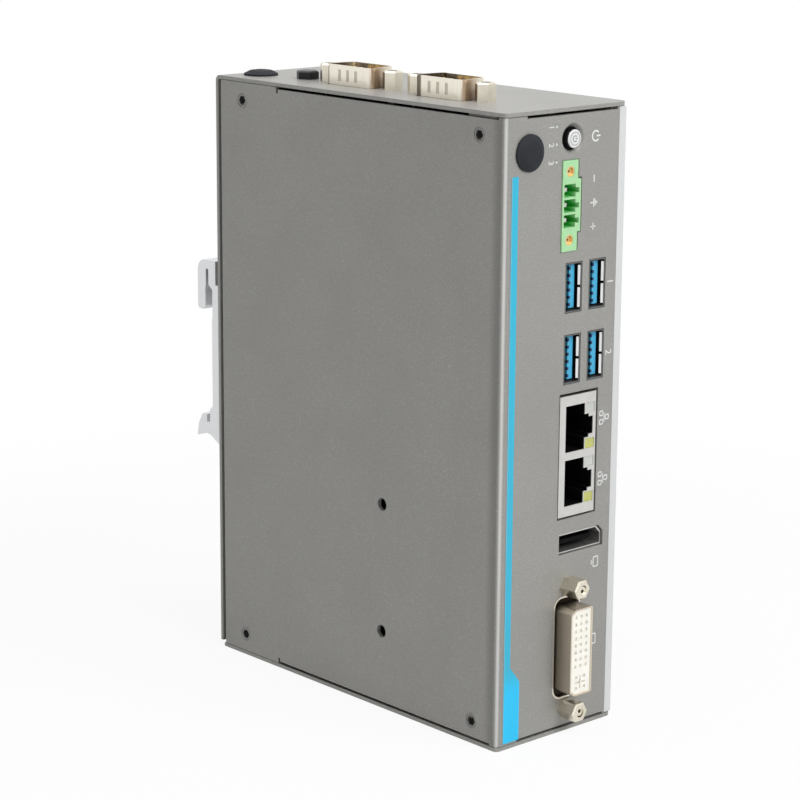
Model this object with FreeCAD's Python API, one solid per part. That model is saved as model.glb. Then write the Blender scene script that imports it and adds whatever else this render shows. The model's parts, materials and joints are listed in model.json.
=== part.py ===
import FreeCAD, Part
import math
import os

from FreeCAD import Vector

# Fanless industrial PC for a 35 mm DIN rail, in millimetres.
# While it is modelled, x runs from the plain left side to the finned right side, y from the
# front panel to the back, and z up from the underside of the bottom plate. The files are
# written about the centre of the bottom plate.

# ---- case ----
width = 43.0
depth = 112.9
height = 163.0
plate_sheet = 1.0           # top, back and bottom, one folded sheet
plate_bend = 1.6            # its outer bend radius
plate_left_corner = 1.2
plate_right_corner = 2.5
bend_relief = 2.5           # notch at each end of the lower rear bend
cover_sheet = 1.2           # front and left side, one folded sheet
cover_bend = 1.8            # its outer bend radius
joint_line = 0.15           # between the cover's edges and the plates
rear_gap = 1.2              # between the cover's rear edge and the back sheet
slot_depth = 0.6            # long shadow slots along the cover's edges
slot_front = 2.6
slot_rear = 87.2
slot_left = 7.2
slot_right_margin = 0.6
slot_relief = (0.8, 1.0)    # length and extra depth of the notch that ends a side slot
clear = 0.3                 # around what passes through a sheet
running_gap = 0.1           # around a thing that slides or screws in
press_gap = 0.02            # around a thing that is pressed in
small_sides = 16            # flat sides of small round pieces that repeat, and of their holes
pin_sides = 8
cell_sides = 32             # and of round pieces about 5 to 20 mm across
joint = 0.5                 # how far two shapes of one piece run into each other

# ---- fixings of the case ----
corner_screw_front = 9.4
corner_screw_rear = 11.3    # from the back
corner_screw_inset = 6.0    # above the bottom and below the top
corner_screw_shank = 1.25
corner_screw_head = 2.1
corner_screw_length = 4.6
tab_width = 10.0
tab_height = 9.5
tab_gap = 0.1               # between a tab and the side sheet
side_hole_y = 44.1
side_hole_low = 21.4
side_hole_spacing = 34.9
side_hole_radius = 1.72
rear_screw_inset = 20.0
rear_screw_shank = 1.25
rear_screw_head = 2.6
rear_screw_head_height = 1.6
rear_screw_slot = (2.8, 0.7, 0.9)       # cross recess: length, width, depth
rear_screw_length = 6.0

socket_share = 1.1          # hex socket of a flat head: flats, as a share of its radius
socket_depth_share = 0.7    # as a share of the head's height

# ---- heat sink ----
sink_front = 0.2
sink_outer_inset = 0.6      # fin tips lie inside the plates' edge
sink_strip = 2.4            # bright strip beside the front sheet
sink_end_gap = 0.2          # to the top and bottom plates
sink_back_gap = 0.4         # to the back sheet
shallow_wall = 4.0          # thickness beside the front connectors
shallow_fin = 2.6
shallow_groove = 2.2
shallow_pitch = 4.0
deep_start = 38.0
deep_wall = 9.9
deep_fin = 7.6
deep_groove = 2.8
deep_pitch = 4.6
sink_border = 4.0
fin_chamfer = 0.4
step_radius = 1.5           # where the shallow wall meets the deep one
pedestal_size = 24.0

# ---- main board and what it carries inside ----
board_to_right = 25.0       # from the board's left face to the right side
board_thickness = 1.6
board_rear_space = 7.3
board_bottom = 6.0
board_top_space = 2.2
standoff_rear_inset = 6.6
standoff_inset = 8.0
standoff_flats = 5.0
board_hole = 1.6
board_screw_shank = 1.25
board_screw_head = 2.4
board_screw_head_height = 1.7
board_screw_length = 6.0
processor_y = 70.0
processor_z = 92.0
processor_size = 25.0
processor_base = 1.2
die_size = 13.0
die_height = 0.8
pad_size = 20.0
pad_thickness = 0.5
chipset_size = 14.0
chipset_height = 1.5
chipset_y = 84.0
chipset_z = 58.0
inductor_size = 7.5
inductor_height = 4.0
inductor_y = 47.0
inductor_low = 106.0
inductor_pitch = 10.0
inductor_count = 3
capacitor_radius = 3.15
capacitor_height = 6.0
capacitor_y = 60.0
capacitor_z = 126.0
capacitor_pitch = 8.0
transformer_size = (10.0, 14.0, 5.0)
transformer_y = 31.0
memory_length = 69.6
memory_width = 30.0
memory_board = 1.1
memory_chip = (8.0, 12.0, 1.0)
memory_chip_count = 4
memory_chip_shift = 2.4     # from the module's middle, away from its socket
memory_top_space = 27.2      # from the module to the board's top edge
memory_front = 28.0
memory_lift = 3.2           # from the board to the module
socket_depth = 6.0
socket_wall = 1.4
socket_arm = 24.0
card_length = 80.0
card_width = 22.0
card_thickness = 0.8
card_lift = 2.6
card_chip = (14.0, 16.0, 1.0)
card_chip_y = (24.0, 49.6)  # from the card's free end
card_rear_space = 6.0
card_lift_z = 12.0          # from the board's lower edge
card_socket_depth = 7.0
card_socket_wall = 1.0
card_screw_head = 2.4
card_screw_head_height = 1.0
card_screw_shank = 1.2
spacer_radius = 2.0
cell_radius = 10.0
cell_thickness = 3.2
cell_rear_space = 17.6
cell_z = 112.0
cell_wall = 1.2
cell_grip = 0.7             # share of the cell's thickness that the holder grips
cell_window = 8.0

# ---- power button ----
button_lift = 3.5           # from the board's right face to the button's middle
button_hole = 3.0
button_hole_chamfer = 0.84
button_radius = 2.3
button_proud = 0.8
button_flange = 3.4
button_flange_gap = 0.3
button_flange_thickness = 0.6
button_stem = 1.2
button_chamfer = 0.25
button_travel = 0.5
plunger_radius = 1.05
plunger_length = 2.2
plunger_start = 3.0
switch_front = 4.4
switch_depth = 3.0
switch_size = 6.0

# ---- status lights ----
light_inset = 0.5           # from the board's left face
light_rise = (-5.5, -1.1, 3.3)          # from the button's middle
light_radius = 0.45
light_bar = (4.0, 1.6)      # start behind the front face, and depth
light_bar_margin = 1.0

# ---- rubber plugs in the two antenna holes ----
plug_radius = 4.65
plug_proud = 1.5
plug_rim = 0.5
plug_sides = 48
plug_hole = 3.1
plug_barb = 3.5
plug_barb_length = 0.9
plug_dome = (0.66, 0.85)    # where the dome's slope changes: shares of radius and height
plug_crown = 0.3            # flat at the top, as a share of the radius
front_plug_x = 8.0
front_plug_drop = 2.3       # from the button's middle
top_plug_x = 9.1
top_plug_rear = 8.3         # from the back

# ---- top plate fixings ----
earth_to_board = 4.9        # to the left of the board's left face
earth_rear = 23.3           # from the back
earth_flats = 5.5
earth_height = 2.2
earth_shank = 1.4
earth_length = 5.0
hex_bevel = 0.35            # on the outer end of hex heads
stud_lift = 5.0             # from the board's right face
stud_y = 9.6
stud_head = 2.45
stud_head_height = 0.5
stud_shank = 1.4
stud_length = 6.0

# ---- power terminal header, 3.81 mm pitch ----
terminal_pitch = 3.81
terminal_count = 3
terminal_proud = 0.3
terminal_depth = 9.5
terminal_body = 5.4         # height over the board
terminal_key = 1.1          # extra height of the middle stretch
terminal_key_margin = 0.9
terminal_flange = 8.6       # from the middle to a screw insert
terminal_end = 2.8          # past the insert
terminal_roof = 0.6         # over the keyed cells
terminal_cell = (4.0, 3.25)
terminal_cell_lift = 0.6
terminal_cell_depth = 8.0
terminal_notch = 1.3
terminal_pin = 1.0
terminal_pin_lift = 2.1
terminal_pin_front = 1.4
insert_radius = 1.4
insert_hole = 1.05
insert_length = 5.0
insert_floor = 1.0
insert_recess = 0.1
terminal_side_gap = 0.6

# ---- USB, two stacks of two ports ----
usb_lift = 4.95             # from the board to the middle of the first port
usb_pitch = 8.45
usb_wall = 0.3
usb_port = (5.2, 12.0)
usb_can_height = 14.0
usb_can_margin = 3.2
usb_nose_front = 0.1
usb_depth = 16.0
usb_port_depth = 10.0
usb_tongue = (1.85, 11.0)
usb_tongue_offset = 0.75
usb_tongue_front = 1.5
usb_contact = (1.0, 0.15)
usb_contact_start = 0.8     # behind the tongue's tip
usb_contact_length = 6.0
usb_back_gap = 1.0
usb_contact_z = (-3.5, -1.0, 1.0, 3.5)

# ---- network, two jacks in one shield ----
lan_height = 31.65
lan_lift = 0.9              # of the visible nose over the board
lan_top = 13.95             # over the board
lan_wall = 0.3
lan_proud = 0.2
lan_depth = 22.0
lan_gap_right = 0.85
lan_gap_end = 0.65
jack_offset = 7.1           # jack's middle from the middle of the pair
jack_width = 12.1
jack_low = 3.05             # over the board
jack_height = 6.85
jack_latch = ((6.2, 1.5), (4.6, 1.5))
jack_depth = 13.0
jack_light = (2.6, 3.3)
jack_light_lift = 0.3       # over the jack's wide part
jack_light_depth = 6.0
jack_light_recess = 0.25
jack_contact = (0.4, 0.25)
jack_contact_pitch = 1.02
jack_contact_count = 8
jack_contact_span = (3.0, 9.0)

# ---- digital display port ----
display_lift = 2.0
display_size = (15.6, 5.0)
display_chamfer = 1.7
display_wall = 0.3
display_front = 0.6
display_depth = 15.0
display_block = 7.5
display_tongue = (11.0, 1.1)
display_tongue_front = 2.0
display_foot = 1.0          # behind the shell

# ---- DVI port ----
dvi_lift = 5.2
dvi_size = (7.9, 23.3)
dvi_chamfer = (1.6, 1.1)
dvi_corner = 0.6
dvi_wall = 0.4
dvi_proud = 5.5
dvi_flange = (12.4, 39.6)
dvi_flange_thickness = 0.5
dvi_window = (0.9, 2.2, 3.0)             # gap at the sides, at the ends, corner radius
dvi_screw_offset = 16.6
dvi_screw_height = 5.6
dvi_block_recess = 0.3
dvi_body = (11.4, 30.0)
dvi_body_depth = 11.0
dvi_contact = 0.9
dvi_contact_pitch = 1.9
dvi_contact_depth = 1.5
dvi_contact_top = 9.4
dvi_cross = -8.3
dvi_cross_span = (3.6, 0.5)
dvi_cross_offset = 1.45

# ---- two 9-way serial ports in the top plate ----
serial_to_board = 4.05      # from the ports' middle to the board's left face
serial_y = (68.9, 34.3)
serial_size = (9.3, 17.9)
serial_slant = 1.2
serial_corner = 1.6
serial_wall = 0.45
serial_proud = 5.3
serial_flange = (12.4, 30.8)
serial_flange_thickness = 0.5
serial_screw_offset = 12.5
serial_floor = 0.4          # of the pin field under the top plate's upper face
serial_body = (8.1, 18.4)
serial_body_depth = 11.0
serial_pin = 0.5
serial_pin_pitch = 2.77
serial_row_gap = 2.84
serial_pin_short = 0.8
serial_pin_root = 1.0
serial_pin_tip = (0.2, 0.5)     # radius and length of the taper
serial_dimple = (1.1, 3.0, 0.2)
serial_dimple_pitch = 3.2
hex_flats = 4.8
hex_height = 4.8
hex_bore = 1.25
hex_bore_depth = 4.0
hex_shank = 1.4
hex_shank_length = 4.5

# ---- accent stripe ----
stripe_film = 0.12
stripe_left = 2.2
stripe_narrow = 2.2
stripe_wide = 5.6
stripe_low = 1.7
stripe_top_gap = 0.85       # under the front plug
stripe_step = (17.4, 21.8)

# ---- DIN rail clip, one extruded section ----
clip_width = 42.0
rail_height = 35.0
rail_low = 64.9
clip_web = 3.5
clip_pad = 1.3
clip_tip = 6.4              # lower tip under the rail
clip_lip = (6.2, 10.6)      # lip's inner and outer face from the back sheet
clip_lip_rise = 1.8
clip_hook = (6.3, 9.7)      # hook's inner and outer face from the back sheet
clip_hook_drop = 3.0
clip_hook_rise = 11.1
clip_slot = (4.9, 6.1)
clip_slot_low = 4.2
clip_slot_high = 8.7
clip_slot_radius = 0.55
clip_heel = (5.4, 3.0, 4.0)             # curved underside: reach, rise, radius
clip_toe = 1.4
clip_toe_back = 0.6
clip_lip_lean = 2.4
clip_pad_height = 3.3
clip_recess = 0.3
clip_recess_low = 5.8
clip_hook_root = 2.9
clip_hook_lead = 1.0
clip_hook_radius = 3.2
clip_leg = 1.8
clip_leg_low = 4.4
clip_screw_spacing = 18.0
clip_screw_to_sink = 2.0    # from a screw's middle to the deep wall of the heat sink
clip_screw_z = 82.0
clip_screw_shank = 1.5
clip_screw_head = 2.9
clip_screw_length = 7.0

# ---- front panel, from the bottom up: gap under each connector and over the last ----
# A taller or lower case stretches or closes all the gaps alike.
front_gaps = (3.15, 5.65, 4.8, 2.45, 4.35, 2.45, 2.3, 4.8)
front_heights = (dvi_flange[1], display_size[1], lan_height, usb_can_height, usb_can_height,
                 2 * (terminal_flange + terminal_end), 2 * button_hole)


def front_middles():
    stretch = (height - sum(front_heights)) / sum(front_gaps)
    level = 0.0
    middles = []
    for gap, size in zip(front_gaps, front_heights):
        level += gap * stretch
        middles.append(level + size / 2)
        level += size
    return middles


# ---- places that follow from the sizes above ----
dvi_z, display_z, lan_middle, usb_low, usb_high, terminal_z, button_z = front_middles()
usb_z = (usb_high, usb_low)
lan_low = lan_middle - lan_height / 2
board_x = width - board_to_right
board_front = cover_sheet + button_flange_gap + button_flange_thickness + button_travel + clear
board_back = depth - board_rear_space
board_top = height - board_top_space
standoff_rear = board_back - standoff_rear_inset
memory_low = board_top - memory_top_space - memory_length
card_front = board_back - card_rear_space - card_length
card_low = board_bottom + card_lift_z
cell_y = board_back - cell_rear_space
serial_x = board_x - serial_to_board
light_x = board_x - light_inset
light_z = [button_z + rise for rise in light_rise]
corner_screw_y = (corner_screw_front, depth - corner_screw_rear)
front_plug = (front_plug_x, button_z - front_plug_drop)
top_plug = (top_plug_x, depth - top_plug_rear)
earth_y = depth - earth_rear
stripe_high = front_plug[1] - plug_radius - stripe_top_gap
back_inner = depth - plate_sheet
top_inner = height - plate_sheet
cover_rear = back_inner - rear_gap
cover_low = plate_sheet + joint_line
cover_high = top_inner - joint_line
sink_outer = width - sink_outer_inset
cover_right = sink_outer - sink_strip - clear
slot_right = cover_right - slot_right_margin
board_face = board_x + board_thickness
sink_low = plate_sheet + sink_end_gap
sink_high = top_inner - sink_end_gap
sink_back = back_inner - sink_back_gap
deep_inner = sink_outer - deep_wall
shallow_inner = sink_outer - shallow_wall
insert_x = board_face + terminal_body / 2
button_x = board_face + button_lift
stud_x = board_face + stud_lift
earth_x = board_x - earth_to_board
die_top = board_face + processor_base + die_height
pedestal_face = die_top + pad_thickness
corner_screw_z = (corner_screw_inset, height - corner_screw_inset)
standoff_y = (sum(serial_y) / 2, standoff_rear)
standoff_z = (board_bottom + standoff_inset, board_top - standoff_inset)
rear_screw_z = (rear_screw_inset, height - rear_screw_inset)
rear_screw_x = sink_outer - deep_wall / 2
usb_ports = (board_face + usb_lift, board_face + usb_lift + usb_pitch)
usb_floor = cover_sheet + running_gap + usb_wall + usb_port_depth
lan_high = lan_low + lan_height
jack_z = (lan_middle + jack_offset, lan_middle - jack_offset)
dvi_x = board_face + dvi_lift
display_x = board_face + display_lift + display_size[0] / 2
clip_x = (width - clip_width) / 2
rail_high = rail_low + rail_height
clip_screw_right = deep_inner - clip_screw_to_sink
clip_screw_x = (clip_screw_right - clip_screw_spacing, clip_screw_right)
normal = {"xy": Vector(0, 0, 1), "xz": Vector(0, 1, 0), "yz": Vector(1, 0, 0)}


# ---- shapes that many pieces share ----

def around(middle, size):
    return (middle - size / 2, middle + size / 2)


def box(x, y, z):
    return Part.makeBox(x[1] - x[0], y[1] - y[0], z[1] - z[0], Vector(x[0], y[0], z[0]))


def point(plane, level, u, v):
    if plane == "xy":
        return Vector(u, v, level)
    if plane == "xz":
        return Vector(u, level, v)
    return Vector(level, u, v)


def outline(plane, level, corners):
    """Closed wire through (u, v, radius) corners, each rounded by its own radius."""
    stops = []
    for index, (u, v, radius) in enumerate(corners):
        here = Vector(u, v, 0)
        before = Vector(*corners[index - 1][:2], 0) - here
        after = Vector(*corners[(index + 1) % len(corners)][:2], 0) - here
        if radius <= 0:
            stops.append((here, None, here))
            continue
        half = before.getAngle(after) / 2
        run = radius / math.tan(half)
        towards = before.normalize() + after.normalize()
        middle = here + towards.normalize() * (radius / math.sin(half) - radius)
        stops.append((here + before * run, middle, here + after * run))
    edges = []
    for index, (start, middle, end) in enumerate(stops):
        previous = stops[index - 1][2]
        if (start - previous).Length > 1e-6:
            edges.append(Part.LineSegment(point(plane, level, previous.x, previous.y),
                                          point(plane, level, start.x, start.y)).toShape())
        if middle is not None:
            edges.append(Part.Arc(point(plane, level, start.x, start.y),
                                  point(plane, level, middle.x, middle.y),
                                  point(plane, level, end.x, end.y)).toShape())
    return Part.Wire(Part.__sortEdges__(edges))


def prism(plane, start, end, corners):
    """Outline carried from one level to another along the plane's normal."""
    return Part.Face(outline(plane, start, corners)).extrude(normal[plane] * (end - start))


def rectangle(u, v, radius=0):
    return [(u[0], v[0], radius), (u[1], v[0], radius), (u[1], v[1], radius), (u[0], v[1], radius)]


def hexagon(u, v, flats):
    reach = flats / math.sqrt(3)
    turns = [math.radians(60 * step) for step in range(6)]
    return [(u + reach * math.cos(turn), v + reach * math.sin(turn), 0) for turn in turns]


def rod(axis, a, b, radius, start, end, sides=0):
    """Cylinder along axis, at a and b on the two other axes in x, y, z order, or a flat-sided one."""
    if sides:
        return stepped(axis, a, b, [(radius, start), (radius, end)], sides)
    if axis == "x":
        return Part.makeCylinder(radius, end - start, Vector(start, a, b), Vector(1, 0, 0))
    if axis == "y":
        return Part.makeCylinder(radius, end - start, Vector(a, start, b), Vector(0, 1, 0))
    return Part.makeCylinder(radius, end - start, Vector(a, b, start), Vector(0, 0, 1))


def ring(axis, a, b, radius, level, sides):
    """Corners of a closed ring of equal sides around an axis."""
    plane = {"x": "yz", "y": "xz", "z": "xy"}[axis]
    turns = [2 * math.pi * (step + 0.5) / sides for step in range(sides)]
    return [point(plane, level, a + radius * math.cos(turn), b + radius * math.sin(turn))
            for turn in turns]


def flat_faced(start, end):
    """Solid between two rings of equally many corners, with every face flat."""
    faces = [Part.Face(Part.makePolygon(corners + corners[:1])) for corners in (start, end)]
    for index in range(len(start)):
        corners = [start[index - 1], start[index], end[index], end[index - 1]]
        faces.append(Part.Face(Part.makePolygon(corners + corners[:1])))
    solid = Part.Solid(Part.Shell(faces))
    if solid.Volume < 0:
        solid.reverse()
    return solid


def stepped(axis, a, b, stations, sides):
    """Flat-sided turned piece through (radius, place along the axis) stations, in order."""
    stretches = []
    for (radius, start), (next_radius, end) in zip(stations, stations[1:]):
        if start != end:
            stretches.append(flat_faced(ring(axis, a, b, radius, start, sides),
                                        ring(axis, a, b, next_radius, end, sides)))
    return joined(stretches)


def turned(axis, a, b, profile):
    """Turned piece: (radius, place along the axis, corner radius) points spun about the axis."""
    if axis == "x":
        wire = outline("xy", b, [(along, a + radius, corner) for radius, along, corner in profile])
        return Part.Face(wire).revolve(Vector(0, a, b), Vector(1, 0, 0), 360)
    corners = [(a + radius, along, corner) for radius, along, corner in profile]
    if axis == "y":
        return Part.Face(outline("xy", b, corners)).revolve(Vector(a, 0, b), Vector(0, 1, 0), 360)
    return Part.Face(outline("xz", b, corners)).revolve(Vector(a, b, 0), Vector(0, 0, 1), 360)


def joined(shapes):
    return shapes[0].multiFuse(shapes[1:]).removeSplitter() if len(shapes) > 1 else shapes[0]


def group(shapes):
    return Part.makeCompound(shapes)


def sunk_stations(head, shank, surface, inward, length):
    """Stations of a flat-headed screw, or of its hole, from the head's face inwards."""
    return [(head, surface), (shank, surface + inward * (head - shank)),
            (shank, surface + inward * length)]


def cross_slots(a, b, arm, width_of_slot, deep):
    """Both arms of a cross recess in the back face, between two places along y."""
    return [box(around(a, u), deep, around(b, v))
            for u, v in ((arm, width_of_slot), (width_of_slot, arm))]


def countersunk(axis, a, b, head, shank, surface, inward, length):
    """Screw whose flat head lies in the surface, with a hex socket."""
    screw = stepped(axis, a, b, sunk_stations(head, shank, surface, inward, length), small_sides)
    deep = sorted((surface - inward, surface + inward * (head - shank) * socket_depth_share))
    plane = {"x": "yz", "y": "xz"}[axis]
    return screw.cut(prism(plane, *deep, hexagon(a, b, head * socket_share)))


# ---- case ----

def serial_outline(y, grow=0.0):
    """D of a 9-way port, wide side to the left, grown outwards by a margin."""
    left = serial_x - serial_size[0] / 2 - grow
    right = serial_x + serial_size[0] / 2 + grow
    wide = serial_size[1] / 2 + grow
    narrow = wide - serial_slant
    corner = serial_corner + grow
    return [(left, y - wide, corner), (right, y - narrow, corner),
            (right, y + narrow, corner), (left, y + wide, corner)]


def dvi_outline(grow=0.0):
    """Shell of the DVI port, with its two left corners cut back."""
    left = dvi_x - dvi_size[0] / 2 - grow
    right = dvi_x + dvi_size[0] / 2 + grow
    low = dvi_z - dvi_size[1] / 2 - grow
    high = dvi_z + dvi_size[1] / 2 + grow
    cut_x = dvi_chamfer[0]
    cut_z = dvi_chamfer[1]
    corner = dvi_corner if grow == 0 else 0
    return [(left, low + cut_z, corner), (left + cut_x, low, corner), (right, low, corner),
            (right, high, corner), (left + cut_x, high, corner), (left, high - cut_z, corner)]


def display_outline(grow=0.0):
    left, right = around(display_x, display_size[0] + 2 * grow)
    low, high = around(display_z, display_size[1] + 2 * grow)
    return [(left, low, 0), (right, low, 0), (right, high - display_chamfer, 0),
            (right - display_chamfer, high, 0), (left, high, 0)]


def front_windows():
    """Everything that is punched out of the front of the cover."""
    cuts = [rod("y", *front_plug, plug_hole, -1, cover_sheet + 1, small_sides),
            rod("y", button_x, button_z, button_hole, -1, cover_sheet + 1)]
    chamfer_edge = button_hole + button_hole_chamfer
    cuts.append(Part.makeCone(chamfer_edge, button_hole, button_hole_chamfer,
                              Vector(button_x, 0, button_z), Vector(0, 1, 0)))
    for z in light_z:
        cuts.append(rod("y", light_x, z, light_radius + running_gap, -1, cover_sheet + 1,
                        small_sides))
    through = (-1, cover_sheet + 1)
    left = board_face - running_gap
    half = terminal_flange + terminal_end + running_gap
    key_half = terminal_key_half() + terminal_side_gap / 2
    right = board_face + terminal_body + terminal_side_gap
    cuts.append(box((left, right), through, (terminal_z - half, terminal_z + half)))
    cuts.append(box((left, right + terminal_key), through,
                    (terminal_z - key_half, terminal_z + key_half)))
    for stack in usb_z:
        for port in usb_ports:
            opening = [size + 2 * usb_wall + clear for size in usb_port]
            cuts.append(box(around(port, opening[0]), through, around(stack, opening[1])))
    cuts.append(box((board_face + lan_lift - running_gap, board_face + lan_top + lan_gap_right),
                    through, (lan_low - lan_gap_end, lan_high + lan_gap_end)))
    cuts.append(prism("xz", -1, cover_sheet + 1, display_outline(clear)))
    gap_x, gap_z, corner = dvi_window
    cuts.append(prism("xz", -1, cover_sheet + 1,
                      rectangle(around(dvi_x, dvi_size[0] + 2 * gap_x),
                                around(dvi_z, dvi_size[1] + 2 * gap_z), corner)))
    for side in (-1, 1):
        cuts.append(rod("y", dvi_x, dvi_z + side * dvi_screw_offset, hex_shank + running_gap,
                        -1, cover_sheet + 1, small_sides))
    return cuts


def front_side_cover():
    corners = [(cover_right, 0, 0), (0, 0, cover_bend), (0, cover_rear, 0),
               (cover_sheet, cover_rear, 0),
               (cover_sheet, cover_sheet, cover_bend - cover_sheet),
               (cover_right, cover_sheet, 0)]
    cover = prism("xy", cover_low, cover_high, corners)
    cuts = front_windows()
    for edge, inward in ((cover_low, 1), (cover_high, -1)):
        slot = sorted((edge - inward, edge + inward * slot_depth))
        relief = sorted((edge - inward, edge + inward * (slot_depth + slot_relief[1])))
        cuts.append(box((-1, cover_sheet + 1), (slot_front, slot_rear), slot))
        cuts.append(box((-1, cover_sheet + 1), (slot_rear - slot_relief[0], slot_rear), relief))
        cuts.append(box((slot_left, slot_right), (-1, cover_sheet + 1), slot))
    for y in corner_screw_y:
        for z in corner_screw_z:
            stations = sunk_stations(corner_screw_head + running_gap,
                                     corner_screw_shank + running_gap, 0, 1, cover_sheet + 1)
            cuts.append(stepped("x", y, z, stations, small_sides))
    for z in (side_hole_low, side_hole_low + side_hole_spacing):
        cuts.append(rod("x", side_hole_y, z, side_hole_radius, -1, cover_sheet + 1))
    return cover.cut(cuts)


def chassis_wrap():
    """Top, back and bottom plates folded from one sheet, with tabs that take the cover's screws."""
    inner_bend = plate_bend - plate_sheet
    section = [(0, 0, 0), (depth, 0, plate_bend), (depth, height, plate_bend), (0, height, 0),
               (0, top_inner, 0), (back_inner, top_inner, inner_bend),
               (back_inner, plate_sheet, inner_bend), (0, plate_sheet, 0)]
    wrap = prism("yz", 0, width, section)
    plan = [(0, 0, plate_left_corner), (width, 0, plate_right_corner),
            (width, depth, 0), (0, depth, 0)]
    wrap = wrap.common(prism("xy", 0, height, plan))
    tab_x = (cover_sheet + tab_gap, cover_sheet + tab_gap + plate_sheet)
    tabs = []
    cuts = []
    for y in corner_screw_y:
        tabs.append(prism("yz", *tab_x, rectangle(around(y, tab_width),
                                                  (plate_sheet - joint, plate_sheet + tab_height))))
        tabs.append(prism("yz", *tab_x, rectangle(around(y, tab_width),
                                                  (top_inner - tab_height, top_inner + joint))))
        for z in corner_screw_z:
            cuts.append(rod("x", y, z, corner_screw_shank + running_gap, 0, tab_x[1] + 1,
                            small_sides))
    for x in ((-1, bend_relief), (width - bend_relief, width + 1)):
        cuts.append(box(x, (depth - plate_bend, depth + 1), (-1, plate_bend)))
    for y in serial_y:
        cuts.append(prism("xy", top_inner - 1, height + 1, serial_outline(y, clear)))
        for side in (-1, 1):
            cuts.append(rod("z", serial_x, y + side * serial_screw_offset,
                            hex_shank + running_gap, top_inner - 1, height + 1, small_sides))
    cuts.append(rod("z", *top_plug, plug_hole, top_inner - 1, height + 1, small_sides))
    cuts.append(rod("z", earth_x, earth_y, earth_shank + running_gap, top_inner - 1, height + 1,
                    small_sides))
    cuts.append(rod("z", stud_x, stud_y, stud_shank + press_gap, top_inner - 1, height + 1,
                    small_sides))
    cuts.append(rod("z", stud_x, stud_y, stud_head + press_gap, height - stud_head_height,
                    height + 1, cell_sides))
    for x in clip_screw_x:
        cuts.append(rod("y", x, clip_screw_z, clip_screw_shank + running_gap,
                        back_inner - 1, depth + 1, small_sides))
    for z in rear_screw_z:
        cuts.append(rod("y", rear_screw_x, z, rear_screw_shank + running_gap,
                        back_inner - 1, depth + 1, small_sides))
    return joined([wrap] + tabs).cut(cuts)


def groove_starts(start, end, groove, pitch):
    """Low edge of each groove between two borders, with the row of grooves centred."""
    count = int((end - start - groove) // pitch) + 1
    spare = (end - start) - ((count - 1) * pitch + groove)
    return [start + spare / 2 + step * pitch for step in range(count)]


def heat_sink():
    """Extruded heat sink: shallow fins beside the connectors, deep fins behind them."""
    section = [(sink_outer - sink_strip, sink_front, 0)]
    grooves = []
    for y in groove_starts(sink_front + sink_border, deep_start, shallow_groove, shallow_pitch):
        grooves.append((y, y + shallow_groove, sink_outer - shallow_fin))
    for y in groove_starts(deep_start + sink_border / 2, sink_back - sink_border,
                           deep_groove, deep_pitch):
        grooves.append((y, y + deep_groove, sink_outer - deep_fin))
    section.append((sink_outer, sink_front, 0))
    tip = sink_outer - fin_chamfer
    for start, end, root in grooves:
        section += [(sink_outer, start - fin_chamfer, 0), (tip, start, 0), (root, start, 0),
                    (root, end, 0), (tip, end, 0), (sink_outer, end + fin_chamfer, 0)]
    section += [(sink_outer, sink_back, 0), (deep_inner, sink_back, 0),
                (deep_inner, deep_start, 0), (shallow_inner, deep_start, step_radius),
                (shallow_inner, cover_sheet + clear, 0),
                (sink_outer - sink_strip, cover_sheet + clear, 0)]
    sink = prism("xy", sink_low, sink_high, section)
    pedestal = box((pedestal_face, deep_inner + joint), around(processor_y, pedestal_size),
                   around(processor_z, pedestal_size))
    cuts = []
    for z in rear_screw_z:
        cuts.append(rod("y", rear_screw_x, z, rear_screw_shank + running_gap,
                        sink_back - rear_screw_length, sink_back + 1, small_sides))
    return joined([sink, pedestal]).cut(cuts)


def cover_screws():
    return group([countersunk("x", y, z, corner_screw_head, corner_screw_shank, running_gap, 1,
                              corner_screw_length)
                  for y in corner_screw_y for z in corner_screw_z])


def rear_screws():
    """Pan heads on the back sheet, threaded into the heat sink."""
    screws = []
    end = sink_back - rear_screw_length + joint
    top = depth + rear_screw_head_height
    arm, slot, deep = rear_screw_slot
    for z in rear_screw_z:
        head = rod("y", rear_screw_x, z, rear_screw_head, depth, top, cell_sides)
        shank = rod("y", rear_screw_x, z, rear_screw_shank, end, depth + joint, small_sides)
        screws.append(joined([head, shank]).cut(
            cross_slots(rear_screw_x, z, arm, slot, (top - deep, top + 1))))
    return group(screws)


def accent_stripe():
    """Printed film on the front: a narrow band that steps out to a wider foot."""
    right = stripe_left + stripe_narrow
    foot = stripe_left + stripe_wide
    corners = [(stripe_left, stripe_low, 0), (foot, stripe_low, 0), (foot, stripe_step[0], 0),
               (right, stripe_step[1], 0), (right, stripe_high, 0), (stripe_left, stripe_high, 0)]
    return prism("xz", -stripe_film, 0, corners)


def plug(axis, a, b, surface, outward, sheet):
    """Domed rubber plug with a barbed stem that snaps behind the sheet."""
    slope_radius = plug_radius * plug_dome[0]
    slope_height = plug_proud * plug_dome[1]
    dome = stepped(axis, a, b, [(plug_radius, surface), (plug_radius, surface + outward * plug_rim),
                                (slope_radius, surface + outward * slope_height),
                                (plug_crown * plug_radius, surface + outward * plug_proud)],
                   plug_sides)
    stem = plug_hole - running_gap
    inside = surface - outward * sheet
    end = inside - outward * plug_barb_length
    foot = stepped(axis, a, b, [(stem, surface + outward * plug_rim), (stem, inside),
                                (plug_barb, inside), (stem - running_gap, end)], small_sides)
    return joined([dome, foot])


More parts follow.
